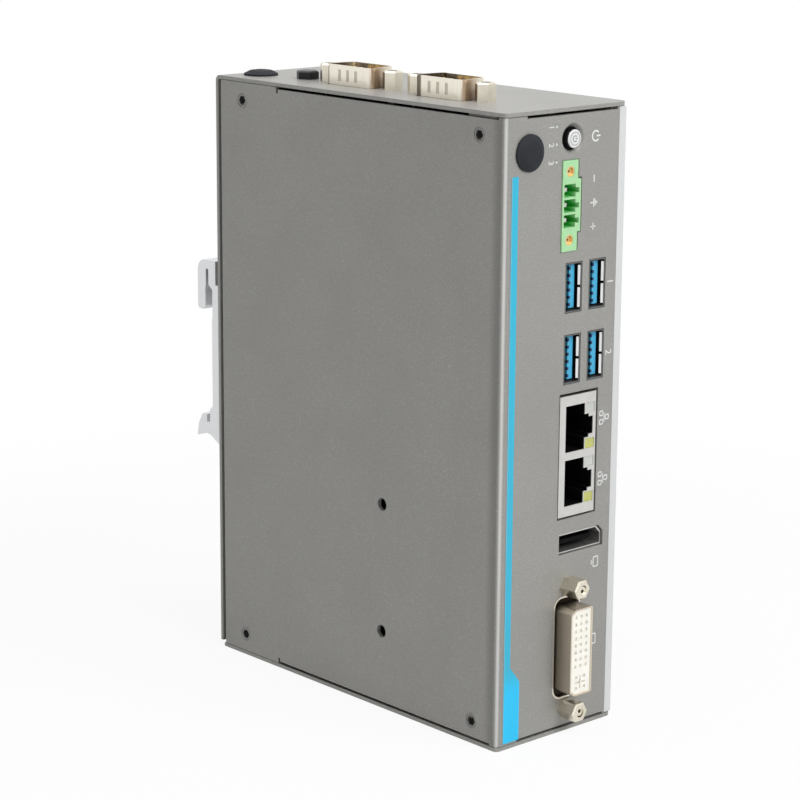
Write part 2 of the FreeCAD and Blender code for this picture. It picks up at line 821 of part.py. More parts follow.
def hex_head(plane, a, b, flats, surface, outward, rise):
    """Hex standing on a surface, bevelled at its outer end."""
    top = surface + outward * rise
    shoulder = top - outward * hex_bevel
    low, high = sorted((surface, shoulder))
    body = prism(plane, low, high, hexagon(a, b, flats))
    rings = [[point(plane, level, u, v) for u, v, corner in hexagon(a, b, size)]
             for level, size in ((shoulder, flats), (top, flats - 2 * hex_bevel))]
    return joined([body, flat_faced(*rings)])


def earth_screw():
    """Black hex-head earth screw on the top plate."""
    head = hex_head("xy", earth_x, earth_y, earth_flats, height, 1, earth_height)
    shank = rod("z", earth_x, earth_y, earth_shank, height - earth_length, height + joint,
                small_sides)
    return joined([head, shank])


def clinch_stud():
    """Stud pressed into the top plate, its head flush with the upper face."""
    head = rod("z", stud_x, stud_y, stud_head, height - stud_head_height, height, cell_sides)
    shank = rod("z", stud_x, stud_y, stud_shank, height - stud_length,
                height - stud_head_height / 2, small_sides)
    return joined([head, shank])


# ---- power button and lights ----

def button_cap():
    """Cap with a bevelled face, held behind the sheet by a flange."""
    flange = cover_sheet + button_flange_gap
    profile = [(0, -button_proud, 0), (button_radius - button_chamfer, -button_proud, 0),
               (button_radius, button_chamfer - button_proud, 0), (button_radius, flange, 0),
               (button_flange, flange, 0), (button_flange, flange + button_flange_thickness, 0),
               (button_stem, flange + button_flange_thickness, 0),
               (button_stem, plunger_start, 0), (0, plunger_start, 0)]
    return turned("y", button_x, button_z, profile)


def switch_plunger():
    return rod("y", button_x, button_z, plunger_radius, plunger_start,
               plunger_start + plunger_length, small_sides)


def power_switch():
    """Push switch on the board, bored for its plunger."""
    body = box((board_face, button_x + switch_size / 2),
               (switch_front, switch_front + switch_depth), around(button_z, switch_size))
    bore_end = plunger_start + plunger_length + button_travel + clear
    return body.cut(rod("y", button_x, button_z, plunger_radius + running_gap / 2,
                        switch_front - 1, bore_end, small_sides))


def light_pipe():
    """Clear moulding with one rod for each status light."""
    bar = box(around(light_x, 2 * light_inset), (light_bar[0], light_bar[0] + light_bar[1]),
              (light_z[0] - light_bar_margin, light_z[-1] + light_bar_margin))
    return joined([bar] + [rod("y", light_x, z, light_radius, 0, light_bar[0] + joint,
                               small_sides)
                           for z in light_z])


# ---- power terminal ----

def terminal_key_half():
    return terminal_pitch * terminal_count / 2 + terminal_key_margin


def terminal_cells():
    """Height of each terminal's middle, highest first."""
    middle = (terminal_count - 1) / 2
    return [terminal_z + (middle - step) * terminal_pitch for step in range(terminal_count)]


def terminal_header():
    """Green header with one keyed cell for each pole and a screw flange at each end."""
    half = terminal_flange + terminal_end
    y = (-terminal_proud, terminal_depth)
    top = board_face + terminal_body
    body = box((board_face, top), y, (terminal_z - half, terminal_z + half))
    key = box((top - joint, top + terminal_key), y,
              (terminal_z - terminal_key_half(), terminal_z + terminal_key_half()))
    cuts = []
    low = board_face + terminal_cell_lift
    for z in terminal_cells():
        opening = (low, low + terminal_cell[0])
        cuts.append(box(opening, (-terminal_proud - 1, terminal_cell_depth),
                        around(z, terminal_cell[1])))
        cuts.append(box((opening[1] - joint, top + terminal_key - terminal_roof),
                        (-terminal_proud - 1, terminal_cell_depth),
                        around(z, terminal_notch)))
        cuts.append(box(around(low + terminal_pin_lift, terminal_pin),
                        (terminal_cell_depth - joint, terminal_depth + 1),
                        around(z, terminal_pin)))
    for z in insert_places():
        cuts.append(rod("y", insert_x, z, insert_radius, -terminal_proud - 1, insert_length,
                        small_sides))
    return joined([body, key]).cut(cuts)


def insert_places():
    return (terminal_z + terminal_flange, terminal_z - terminal_flange)


def terminal_pins():
    x = around(board_face + terminal_cell_lift + terminal_pin_lift, terminal_pin)
    return group([box(x, (terminal_pin_front, terminal_depth), around(z, terminal_pin))
                  for z in terminal_cells()])


def terminal_inserts():
    """Brass inserts that take the plug's screws, left bored at thread radius."""
    inserts = []
    front = insert_recess - terminal_proud
    for z in insert_places():
        insert = rod("y", insert_x, z, insert_radius, front, insert_length, small_sides)
        bore = rod("y", insert_x, z, insert_hole, front - 1, insert_length - insert_floor)
        inserts.append(insert.cut(bore))
    return group(inserts)


# ---- USB ----

def usb_can_range():
    return (board_face, usb_ports[-1] + usb_can_margin)


def usb_shell(z):
    """Steel can over two ports, with a steel mouth through each window of the cover."""
    face = cover_sheet + running_gap
    can_x = usb_can_range()
    can_z = around(z, usb_can_height)
    shell = box(can_x, (face, face + usb_depth), can_z)
    inside = box((can_x[0] - 1, can_x[1] - usb_wall), (face + usb_wall, face + usb_depth + 1),
                 (can_z[0] + usb_wall, can_z[1] - usb_wall))
    shell = shell.cut(inside)
    mouths = []
    openings = []
    for x in usb_ports:
        mouths.append(usb_mouth(x, z, usb_wall, usb_nose_front))
        openings.append(usb_mouth(x, z, 0, -1))
    return joined([shell] + mouths).cut(openings)


def usb_mouth(x, z, grow, front):
    """Block as large as one port, grown on four sides, back to the moulding behind the plug."""
    return box(around(x, usb_port[0] + 2 * grow), (front, usb_floor),
               around(z, usb_port[1] + 2 * grow))


def usb_insulator(z):
    """Blue moulding that fills the can and carries the two tongues."""
    start = cover_sheet + running_gap + usb_wall
    can_x = usb_can_range()
    half = usb_can_height / 2 - usb_wall
    block = box((can_x[0], can_x[1] - usb_wall), (start, start + usb_depth - usb_back_gap),
                (z - half, z + half))
    cavities = []
    tongues = []
    for x in usb_ports:
        cavities.append(usb_mouth(x, z, usb_wall, start - 1))
        tongue_x = around(x + usb_tongue_offset, usb_tongue[0])
        tongues.append(box(tongue_x, (usb_tongue_front, usb_floor + joint),
                           around(z, usb_tongue[1])))
    return joined([block.cut(cavities)] + tongues)


def usb_contacts(z):
    """Four contact strips on the board side of each tongue."""
    strips = []
    for x in usb_ports:
        face = x + usb_tongue_offset - usb_tongue[0] / 2
        for offset in usb_contact_z:
            start = usb_tongue_front + usb_contact_start
            strips.append(box((face - usb_contact[1], face), (start, start + usb_contact_length),
                              around(z + offset, usb_contact[0])))
    return group(strips)


# ---- network ----

def jack_levels():
    """Places over the board where the jack, its latch steps and its end begin."""
    low = board_face + jack_low
    first = low + jack_height
    second = first + jack_latch[0][1]
    return low, first, second, second + jack_latch[1][1]


def jack_hollow(z, start, end):
    low, first, second, last = jack_levels()
    return joined([box((low, first), (start, end), around(z, jack_width)),
                   box((first - 0.1, second), (start, end), around(z, jack_latch[0][0])),
                   box((second - 0.1, last), (start, end), around(z, jack_latch[1][0]))])


def jack_light_box(z, side, start, end):
    first = jack_levels()[1]
    outer = z + side * jack_width / 2
    inner = outer - side * jack_light[0]
    low, high = sorted((outer, inner))
    near = first + jack_light_lift
    return box((near, near + jack_light[1]), (start, end), (low, high))


def lan_shield():
    """Plated shield over both jacks, with the windows of the jacks and their lights."""
    face = cover_sheet + running_gap
    top = board_face + lan_top
    can = box((board_face, top), (face, lan_depth), (lan_low, lan_high))
    nose = box((board_face + lan_lift, top), (-lan_proud, face + joint), (lan_low, lan_high))
    shield = joined([can, nose])
    inside = [box((board_face - 1, top - lan_wall), (face + lan_wall, lan_depth - lan_wall),
                  (lan_low + lan_wall, lan_high - lan_wall)),
              box((board_face + lan_lift + lan_wall, top - lan_wall),
                  (lan_wall - lan_proud, face + 1), (lan_low + lan_wall, lan_high - lan_wall))]
    windows = []
    for z in jack_z:
        windows.append(jack_hollow(z, -lan_proud - 1, 1))
        for side in (-1, 1):
            windows.append(jack_light_box(z, side, -lan_proud - 1, 1))
    return shield.cut(inside).cut(windows)


def lan_insert():
    """Black moulding inside the shield, with the two jack hollows and pockets for the lights."""
    face = cover_sheet + running_gap
    top = board_face + lan_top - lan_wall
    z = (lan_low + lan_wall, lan_high - lan_wall)
    block = joined([box((board_face, top), (face + lan_wall, lan_depth - lan_wall), z),
                    box((board_face + lan_lift + lan_wall, top),
                        (lan_wall - lan_proud, face + 1), z)])
    cuts = []
    for middle in jack_z:
        cuts.append(jack_hollow(middle, -lan_proud - 1, jack_depth))
        for side in (-1, 1):
            cuts.append(jack_light_box(middle, side, -lan_proud - 1,
                                       jack_light_recess + jack_light_depth))
    return block.cut(cuts)


def jack_lights(side):
    """One row of lights: side +1 is the upper one of each jack, -1 the lower one."""
    start = jack_light_recess - lan_proud
    return group([jack_light_box(z, side, start, jack_light_recess + jack_light_depth)
                  for z in jack_z])


def lan_contacts():
    """Gold contact wires along the board side of each jack."""
    low = jack_levels()[0]
    wires = []
    for z in jack_z:
        for step in range(jack_contact_count):
            offset = (step - (jack_contact_count - 1) / 2) * jack_contact_pitch
            wires.append(box((low, low + jack_contact[1]), jack_contact_span,
                             around(z + offset, jack_contact[0])))
    return group(wires)


# ---- display ports ----

def display_shell():
    shell = prism("xz", display_front, display_front + display_depth, display_outline())
    return shell.cut(prism("xz", display_front - 1, display_front + display_depth + 1,
                           display_outline(-display_wall)))


def display_insulator():
    """Black block that stands on the board behind the shell's mouth, with its contact tongue."""
    start = display_front + display_block
    end = display_front + display_depth
    left = display_x - display_size[0] / 2
    z = around(display_z, display_size[1] - 2 * display_wall)
    block = prism("xz", start, end, display_outline(-display_wall))
    back = box((board_face, display_x), (end, end + display_foot), z)
    foot = box((board_face, left), (start, end + joint), z)
    tongue = box(around(display_x, display_tongue[0]), (display_tongue_front, start + joint),
                 around(display_z, display_tongue[1]))
    return joined([block, back, foot, tongue])


def dvi_screw_places():
    return (dvi_z + dvi_screw_offset, dvi_z - dvi_screw_offset)


def dvi_shell():
    """Shell and flange of the DVI port."""
    face = cover_sheet + running_gap
    back = face + dvi_flange_thickness
    flange = prism("xz", face, back, rectangle(around(dvi_x, dvi_flange[0]),
                                               around(dvi_z, dvi_flange[1])))
    shell = joined([flange, prism("xz", -dvi_proud, back, dvi_outline())])
    cuts = [prism("xz", -dvi_proud - 1, back + 1, dvi_outline(-dvi_wall))]
    for z in dvi_screw_places():
        cuts.append(rod("y", dvi_x, z, hex_shank + running_gap, 0, back + 1, small_sides))
    return shell.cut(cuts)


def dvi_insulator():
    """White contact block: three rows of eight, and the cross of the analogue contacts."""
    back = cover_sheet + running_gap + dvi_flange_thickness
    front = dvi_block_recess - dvi_proud
    block = prism("xz", front, back + joint, dvi_outline(-dvi_wall))
    body = box((board_face, board_face + dvi_body[0]), (back, back + dvi_body_depth),
               around(dvi_z, dvi_body[1]))
    holes = []
    deep = (front - 1, front + dvi_contact_depth)
    for column in (-1, 0, 1):
        for row in range(8):
            x = dvi_x + column * dvi_contact_pitch
            z = dvi_z + dvi_contact_top - row * dvi_contact_pitch
            holes.append(box(around(x, dvi_contact), deep, around(z, dvi_contact)))
    cross = dvi_z + dvi_cross
    holes.append(box(around(dvi_x, dvi_cross_span[0]), deep, around(cross, dvi_cross_span[1])))
    holes.append(box(around(dvi_x, dvi_cross_span[1]), deep, around(cross, dvi_cross_span[0])))
    for x in (-1, 1):
        for z in (-1, 1):
            holes.append(box(around(dvi_x + x * dvi_cross_offset, dvi_contact), deep,
                             around(cross + z * dvi_cross_offset, dvi_contact)))
    return joined([block, body]).cut(holes)


def hex_jackscrew(axis, a, b, surface, outward, rise):
    """Hex jackscrew standing on a sheet, with a threaded bore in its outer end."""
    plane = {"y": "xz", "z": "xy"}[axis]
    top = surface + outward * rise
    head = hex_head(plane, a, b, hex_flats, surface, outward, rise)
    shank = rod(axis, a, b, hex_shank,
                *sorted((surface - outward * hex_shank_length, surface + outward * joint)),
                small_sides)
    bore = rod(axis, a, b, hex_bore, *sorted((top - outward * hex_bore_depth, top + outward)))
    return joined([head, shank]).cut(bore)


def dvi_jackscrews():
    return group([hex_jackscrew("y", dvi_x, z, 0, -1, dvi_screw_height)
                  for z in dvi_screw_places()])


# ---- serial ports ----

def serial_shell(y):
    """Drawn steel shell of a 9-way port, with dimples along its wide side."""
    flange = prism("xy", top_inner - running_gap - serial_flange_thickness,
                   top_inner - running_gap,
                   rectangle(around(serial_x, serial_flange[0]), around(y, serial_flange[1])))
    tube = prism("xy", top_inner - running_gap - serial_flange_thickness,
                 height + serial_proud, serial_outline(y))
    cuts = [prism("xy", top_inner - 2, height + serial_proud + 1, serial_outline(y, -serial_wall))]
    for side in (-1, 1):
        cuts.append(rod("z", serial_x, y + side * serial_screw_offset, hex_shank + running_gap,
                        top_inner - 2, height, small_sides))
    left = serial_x - serial_size[0] / 2
    for step in (-1, 0, 1):
        cuts.append(box((left - 1, left + serial_dimple[2]),
                        around(y + step * serial_dimple_pitch, serial_dimple[0]),
                        around(height + serial_proud / 2, serial_dimple[1])))
    return joined([flange, tube]).cut(cuts)


def serial_insulator(y):
    """Black body on the board's left face, with the pin field up inside the shell."""
    under = top_inner - running_gap - serial_flange_thickness
    field = prism("xy", under - joint, height - serial_floor, serial_outline(y, -serial_wall))
    body = box((board_x - serial_body[0], board_x), around(y, serial_body[1]),
               (under - serial_body_depth, under))
    low = height - serial_floor - serial_pin_root
    return joined([field, body]).cut([rod("z", *place, serial_pin, low, height, pin_sides)
                                      for place in serial_pin_places(y)])


def serial_pin_places(y):
    """Five pins on the wide side and four on the narrow side."""
    places = []
    for row, count in ((-1, 5), (1, 4)):
        for step in range(count):
            offset = (step - (count - 1) / 2) * serial_pin_pitch
            places.append((serial_x + row * serial_row_gap / 2, y + offset))
    return places


def serial_pins(y):
    low = height - serial_floor - serial_pin_root
    high = height + serial_proud - serial_pin_short
    tip, taper = serial_pin_tip
    stations = [(serial_pin, low), (serial_pin, high - taper), (tip, high)]
    return group([stepped("z", *place, stations, pin_sides) for place in serial_pin_places(y)])


def serial_jackscrews():
    return group([hex_jackscrew("z", serial_x, y + side * serial_screw_offset, height, 1,
                                hex_height)
                  for y in serial_y for side in (-1, 1)])


# ---- inside ----

def main_board():
    board = box((board_x, board_face), (board_front, board_back), (board_bottom, board_top))
    holes = [rod("x", y, z, board_hole, board_x - 1, board_face + 1, small_sides)
             for y in standoff_y for z in standoff_z]
    return board.cut(holes)


def board_standoffs():
    """Hex pillars between the board and the heat sink, bored for the board's screws."""
    pillars = []
    for y in standoff_y:
        for z in standoff_z:
            pillar = prism("yz", board_face, deep_inner, hexagon(y, z, standoff_flats))
            pillars.append(pillar.cut(rod("x", y, z, board_screw_shank + running_gap,
                                          board_face - 1, board_face + board_screw_length,
                                          small_sides)))
    return group(pillars)


def board_screws():
    screws = []
    for y in standoff_y:
        for z in standoff_z:
            head = board_x - board_screw_head_height
            end = board_face + board_screw_length - 1
            screws.append(stepped("x", y, z, [(board_screw_head, head),
                                              (board_screw_head, board_x),
                                              (board_screw_shank, board_x),
                                              (board_screw_shank, end)], small_sides))
    return group(screws)


def processor():
    base = box((board_face, board_face + processor_base), around(processor_y, processor_size),
               around(processor_z, processor_size))
    die = box((board_face, die_top), around(processor_y, die_size), around(processor_z, die_size))
    return joined([base, die])


def thermal_pad():
    return box((die_top, pedestal_face), around(processor_y, pad_size),
               around(processor_z, pad_size))


def chipset():
    return box((board_face, board_face + chipset_height), around(chipset_y, chipset_size),
               around(chipset_z, chipset_size))


def power_inductors():
    blocks = []
    for step in range(inductor_count):
        z = inductor_low + step * inductor_pitch
        blocks.append(box((board_face, board_face + inductor_height),
                          around(inductor_y, inductor_size), around(z, inductor_size)))
    return group(blocks)


def capacitors():
    cans = []
    for column in (0, 1):
        for row in (0, 1):
            cans.append(rod("x", capacitor_y + column * capacitor_pitch,
                            capacitor_z + row * capacitor_pitch, capacitor_radius,
                            board_face, board_face + capacitor_height, small_sides))
    return group(cans)


def network_transformers():
    size_y, size_z, size_x = transformer_size
    return group([box((board_face, board_face + size_x), around(transformer_y, size_y),
                      around(z, size_z)) for z in jack_z])


def memory_module():
    """Memory card held parallel to the board, with chips on its outer face."""
    x = (board_x - memory_lift - memory_board, board_x - memory_lift)
    card = box(x, (memory_front, memory_front + memory_width),
               (memory_low, memory_low + memory_length))
    chips = []
    pitch = memory_length / memory_chip_count
    for step in range(memory_chip_count):
        z = memory_low + (step + 0.5) * pitch
        chips.append(box((x[0] - memory_chip[2], x[0] + memory_board / 2),
                         around(memory_front + memory_width / 2 + memory_chip_shift,
                                memory_chip[0]),
                         around(z, memory_chip[1])))
    return joined([card] + chips)


def memory_socket():
    """Socket with a slot for the card's edge and a spring arm at each end."""
    outer = board_x - memory_lift - memory_board - socket_wall
    low = memory_low - socket_wall - running_gap
    high = memory_low + memory_length + socket_wall + running_gap
    body = box((outer, board_x), (memory_front - socket_wall, memory_front + socket_depth),
               (low, high))
    arms = [box((outer, board_x), (memory_front, memory_front + socket_arm), span)
            for span in ((low, low + socket_wall), (high - socket_wall, high))]
    gap = running_gap
    slot = box((board_x - memory_lift - memory_board - gap, board_x - memory_lift),
               (memory_front - gap, memory_front + socket_depth + 1),
               (memory_low - gap, memory_low + memory_length + gap))
    return joined([body] + arms).cut(slot)


def storage_card():
    """Solid-state drive on a narrow card, notched at its free end for its screw."""
    x = (board_x - card_lift - card_thickness, board_x - card_lift)
    middle = card_low + card_width / 2
    card = box(x, (card_front, card_front + card_length), (card_low, card_low + card_width))
    chips = []
    for place in card_chip_y:
        chips.append(box((x[0] - card_chip[2], x[0] + card_thickness / 2),
                         around(card_front + place, card_chip[0]), around(middle, card_chip[1])))
    notch = rod("x", card_front, middle, card_screw_shank + running_gap, x[0] - 1, x[1] + 1,
                small_sides)
    return joined([card] + chips).cut(notch)


def storage_socket():
    end = card_front + card_length
    gap = running_gap
    body = box((board_x - card_lift - card_thickness - card_socket_wall, board_x),
               (end - card_socket_depth / 2, end + card_socket_depth / 2),
               (card_low - card_socket_wall, card_low + card_width + card_socket_wall))
    slot = box((board_x - card_lift - card_thickness - gap, board_x - card_lift),
               (end - card_socket_depth, end + gap), (card_low - gap, card_low + card_width + gap))
    return body.cut(slot)


def storage_screw():
    """Spacer and screw of the card, one turned piece clinched on the board."""
    outer = board_x - card_lift - card_thickness
    middle = card_low + card_width / 2
    return stepped("x", card_front, middle,
                   [(card_screw_head, outer - card_screw_head_height), (card_screw_head, outer),
                    (card_screw_shank, outer), (card_screw_shank, board_x - card_lift),
                    (spacer_radius, board_x - card_lift), (spacer_radius, board_x)], small_sides)


def coin_cell():
    return rod("x", cell_y, cell_z, cell_radius, board_x - cell_wall - cell_thickness,
               board_x - cell_wall, cell_sides)


def cell_holder():
    """Square tray that the cell drops into, open on one side for a fingernail."""
    side = 2 * (cell_radius + running_gap + cell_wall)
    outer = board_x - cell_wall - cell_thickness * cell_grip
    tray = box((outer, board_x), around(cell_y, side), around(cell_z, side))
    hollow = rod("x", cell_y, cell_z, cell_radius + running_gap, outer - 1,
                 board_x - cell_wall, cell_sides)
    window = box((outer - 1, board_x - cell_wall), around(cell_y, cell_window),
                 (cell_z, cell_z + side))
    return tray.cut([hollow, window])


# ---- DIN rail clip ----

def din_clip():
    """Hook over the rail's upper edge, lip under its lower edge, one extruded section."""
    web = depth + clip_web
    pad = web + clip_pad
    inset = web - clip_recess
    foot = rail_low - clip_tip
    lip_inner, lip_outer = [depth + reach for reach in clip_lip]
    lip_top = rail_low + clip_lip_rise
    slot_inner, slot_outer = [depth + reach for reach in clip_slot]
    slot_low = rail_high + clip_slot_low
    slot_high = rail_high + clip_slot_high
    hook_inner, hook_outer = [depth + reach for reach in clip_hook]
    hook_low = rail_high - clip_hook_drop
    hook_top = rail_high + clip_hook_rise
    hook_root = rail_high + clip_hook_root
    leg_low = rail_high + clip_leg_low
    section = [
        (depth, foot, 0), (depth + clip_heel[0], foot + clip_heel[1], clip_heel[2]),
        (lip_outer, foot + clip_toe, 0), (lip_outer - clip_toe_back, rail_low - clip_toe, 1.0),
        (lip_outer - clip_lip_lean, lip_top, 0), (lip_inner, lip_top, 0),
        (lip_inner, rail_low - clear, 0), (pad, rail_low - clear, 0),
        (pad, rail_low + clip_pad_height, 0), (web, rail_low + clip_pad_height + clip_pad, 0),
        (web, rail_high - clip_recess_low, 0), (inset, rail_high - clip_recess_low + clip_pad, 0),
        (inset, hook_root, 0), (slot_inner, slot_low, 0),
        (slot_inner, slot_high, clip_slot_radius), (slot_outer, slot_high, clip_slot_radius),
        (slot_outer, slot_low, 0), (hook_inner, hook_root, 0),
        (hook_inner, hook_low + clip_hook_lead, 0), (hook_inner + clip_hook_lead, hook_low, 0),
        (hook_outer, hook_low, 1.0), (hook_outer, hook_top, clip_hook_radius),
        (depth + clip_leg, hook_top, 0), (depth + clip_leg, leg_low, 0), (depth, leg_low, 0)]
    clip = prism("yz", clip_x, clip_x + clip_width, section)
    stations = sunk_stations(clip_screw_head + running_gap, clip_screw_shank + running_gap,
                             web, -1, clip_web + 1)
    return clip.cut([stepped("y", x, clip_screw_z, stations, small_sides)
                     for x in clip_screw_x])


def clip_screws():
    return group([countersunk("y", x, clip_screw_z, clip_screw_head, clip_screw_shank,
                              depth + clip_web - running_gap, -1, clip_screw_length)
                  for x in clip_screw_x])


# ---- every piece, each written to its own file ----

pieces = {
    "front_side_cover": front_side_cover(),
    "chassis_wrap": chassis_wrap(),
    "heat_sink": heat_sink(),
    "cover_screws": cover_screws(),
    "rear_screws": rear_screws(),
    "accent_stripe": accent_stripe(),
    "antenna_plug_front": plug("y", *front_plug, 0, -1, cover_sheet),
    "antenna_plug_top": plug("z", *top_plug, height, 1, plate_sheet),
    "earth_screw": earth_screw(),
    "clinch_stud": clinch_stud(),
    "power_button_cap": button_cap(),
    "switch_plunger": switch_plunger(),
    "power_switch": power_switch(),
    "light_pipe": light_pipe(),
    "terminal_header": terminal_header(),
    "terminal_pins": terminal_pins(),
    "terminal_inserts": terminal_inserts(),
    "lan_shield": lan_shield(),
    "lan_insert": lan_insert(),
    "lan_contacts": lan_contacts(),
    "lan_lights_clear": jack_lights(1),
    "lan_lights_yellow": jack_lights(-1),
    "display_shell": display_shell(),
    "display_insulator": display_insulator(),
    "dvi_shell": dvi_shell(),
    "dvi_insulator": dvi_insulator(),
    "dvi_jackscrews": dvi_jackscrews(),
    "serial_jackscrews": serial_jackscrews(),
    "main_board": main_board(),
    "board_standoffs": board_standoffs(),
    "board_screws": board_screws(),
    "processor": processor(),
    "thermal_pad": thermal_pad(),
    "chipset": chipset(),
    "power_inductors": power_inductors(),
    "capacitors": capacitors(),
    "network_transformers": network_transformers(),
    "memory_module": memory_module(),
    "memory_socket": memory_socket(),
    "storage_card": storage_card(),
    "storage_socket": storage_socket(),
    "storage_screw": storage_screw(),
    "coin_cell": coin_cell(),
    "cell_holder": cell_holder(),
    "din_clip": din_clip(),
    "clip_screws": clip_screws(),
}
for number, place_z in enumerate(usb_z, 1):
    pieces[f"usb_shell_{number}"] = usb_shell(place_z)
    pieces[f"usb_insulator_{number}"] = usb_insulator(place_z)
    pieces[f"usb_contacts_{number}"] = usb_contacts(place_z)
for number, place_y in enumerate(serial_y, 1):
    pieces[f"serial_shell_{number}"] = serial_shell(place_y)
    pieces[f"serial_insulator_{number}"] = serial_insulator(place_y)
    pieces[f"serial_pins_{number}"] = serial_pins(place_y)

os.makedirs("parts", exist_ok=True)
for name, shape in pieces.items():
    shape.translate(Vector(-width / 2, -depth / 2, 0))
    shape.exportStep(f"parts/{name}.step")
    print(f"{name}: {len(shape.Solids)} solids, {shape.Volume:.1f} cubic mm")
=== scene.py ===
import json
import math

import bpy
import numpy as np
from mathutils import Matrix, Vector


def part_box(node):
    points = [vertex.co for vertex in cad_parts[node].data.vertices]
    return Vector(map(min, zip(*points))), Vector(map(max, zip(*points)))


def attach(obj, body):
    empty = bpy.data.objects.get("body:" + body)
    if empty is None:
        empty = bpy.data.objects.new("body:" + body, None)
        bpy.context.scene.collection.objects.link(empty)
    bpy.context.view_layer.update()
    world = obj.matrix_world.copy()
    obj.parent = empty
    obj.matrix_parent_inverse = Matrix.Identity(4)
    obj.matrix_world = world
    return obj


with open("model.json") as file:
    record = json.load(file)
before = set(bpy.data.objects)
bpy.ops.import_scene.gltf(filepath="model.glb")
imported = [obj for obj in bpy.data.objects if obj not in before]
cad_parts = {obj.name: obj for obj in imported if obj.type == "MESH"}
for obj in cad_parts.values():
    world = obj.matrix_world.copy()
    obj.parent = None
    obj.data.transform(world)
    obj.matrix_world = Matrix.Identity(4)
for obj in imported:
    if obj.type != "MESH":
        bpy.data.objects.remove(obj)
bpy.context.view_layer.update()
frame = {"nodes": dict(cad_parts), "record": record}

mm = 0.001
record = frame["record"]
nodes = frame["nodes"]


class Wire:
    # a node's output socket, on which plain arithmetic adds Math nodes
    def __init__(self, finish, socket):
        self.finish = finish
        self.socket = socket

    def __add__(self, other):
        return self.finish.maths("ADD", self, other)

    def __sub__(self, other):
        return self.finish.maths("SUBTRACT", self, other)

    def __rsub__(self, other):
        return self.finish.maths("SUBTRACT", other, self)

    def __mul__(self, other):
        return self.finish.maths("MULTIPLY", self, other)

    __radd__ = __add__
    __rmul__ = __mul__


class Finish:
    # the nodes of one procedural material, or of the world
    def __init__(self, name, store="materials"):
        self.data = getattr(bpy.data, store).new(name)
        self.data.use_nodes = True
        self.tree = self.data.node_tree
        self.tree.nodes.clear()
        self.coordinates = None

    def node(self, kind, settings=None, inputs=None, output=0):
        # any node: its settings first, then the values or links of its sockets
        made = self.tree.nodes.new("ShaderNode" + kind)
        for key, value in (settings or {}).items():
            setattr(made, key, value)
        for key, value in (inputs or {}).items():
            if isinstance(value, Wire):
                self.tree.links.new(value.socket, made.inputs[key])
            else:
                made.inputs[key].default_value = value
        return Wire(self, made.outputs[output]) if made.outputs else None

    def maths(self, operation, *values):
        return self.node("Math", {"operation": operation}, dict(enumerate(values)))

    def place(self):
        # Object coordinates, from one node made when it is first asked for
        self.coordinates = self.coordinates or self.node("TexCoord", output="Object")
        return self.coordinates

    def axes(self):
        split = self.node("SeparateXYZ", {}, {0: self.place()})
        return [Wire(self, socket) for socket in split.socket.node.outputs]

    def within(self, value, low, high):
        # 0 below low, 1 above high, smooth between them
        return self.node("MapRange", {"interpolation_type": "SMOOTHSTEP"},
                         {"Value": value, "From Min": low, "From Max": high})

    def mixed(self, factor, first, second):
        return self.node("Mix", {"data_type": "RGBA"}, {0: factor, 6: first, 7: second},
                         output=2)

    def noise(self, size, detail=2.0, stretch=(1, 1, 1), rough=0.5):
        # size is the width of one grain in metres
        place = self.node("Mapping", {}, {"Vector": self.place(), "Scale": stretch})
        return self.node("TexNoise", {}, {"Vector": place, "Scale": 1 / size,
                                          "Detail": detail, "Roughness": rough})

    def bump(self, height, depth, strength):
        return self.node("Bump", {}, {"Height": height, "Distance": depth,
                                      "Strength": strength})

    def seenDirectly(self):
        # 1 for what the camera, metal or clear plastic sees, 0 for light on its way to a surface
        camera, glossy, through = [self.node("LightPath", output="Is %s Ray" % kind)
                                   for kind in ("Camera", "Glossy", "Transmission")]
        return self.maths("MAXIMUM", self.maths("MAXIMUM", camera, glossy), through)

    def done(self, **values):
        sockets = {key.replace("_", " "): value for key, value in values.items()}
        self.node("OutputMaterial", {}, {"Surface": self.node("BsdfPrincipled", {}, sockets)})
        return self.data


def rgb(red, green, blue):
    # screen colour 0 to 255 as linear light
    def linear(value):
        value /= 255
        return value / 12.92 if value <= 0.04045 else ((value + 0.055) / 1.055) ** 2.4
    return (linear(red), linear(green), linear(blue), 1.0)


def darker(tone, share=0.8):
    return tuple(share * part for part in tone[:3]) + (1.0,)


def middleOf(node):
    low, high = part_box(node)
    return (np.array(low) + np.array(high)) / 2


sideFace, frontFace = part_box("front_side_cover")[0][:2]
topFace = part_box("chassis_wrap")[1][2]


# Painted sheet. The fold is the bent corner between the front and the side, with a painted
# highlight along its bend and a band of painted shade on the side behind it: soft is where the
# highlight's mask starts, behind and further are where that band of painted shade begins and
# ends, in bends from the front, and edge is where that band leaves the fold's own face.

coverFold = {"bend": 1.05 * mm, "soft": 0.6, "bright": rgb(208, 208, 206), "brightShare": 0.85,
             "paintedShade": rgb(84, 83, 80), "paintedShadeShare": 0.5, "behind": (1, 1.5), "further": (2, 5),
             "edge": (0.05 * mm, 0.3 * mm)}
powderCoat = {"tone": rgb(146, 145, 141), "fleck": rgb(186, 185, 181), "grain": 0.3 * mm,
              "detail": 3.0, "flakeNoise": 0.7, "flakes": (0.52, 0.72), "flakeShare": 0.8,
              "flakeRough": 0.1, "coarse": 1.6,
              "driftSize": 22 * mm, "drift": (0.3, 0.75), "driftShare": 0.22, "driftRough": 0.06,
              "metal": 0.2, "rough": 0.44, "gloss": 0.15, "glossRough": 0.2,
              "relief": 0.04 * mm, "press": 0.5}


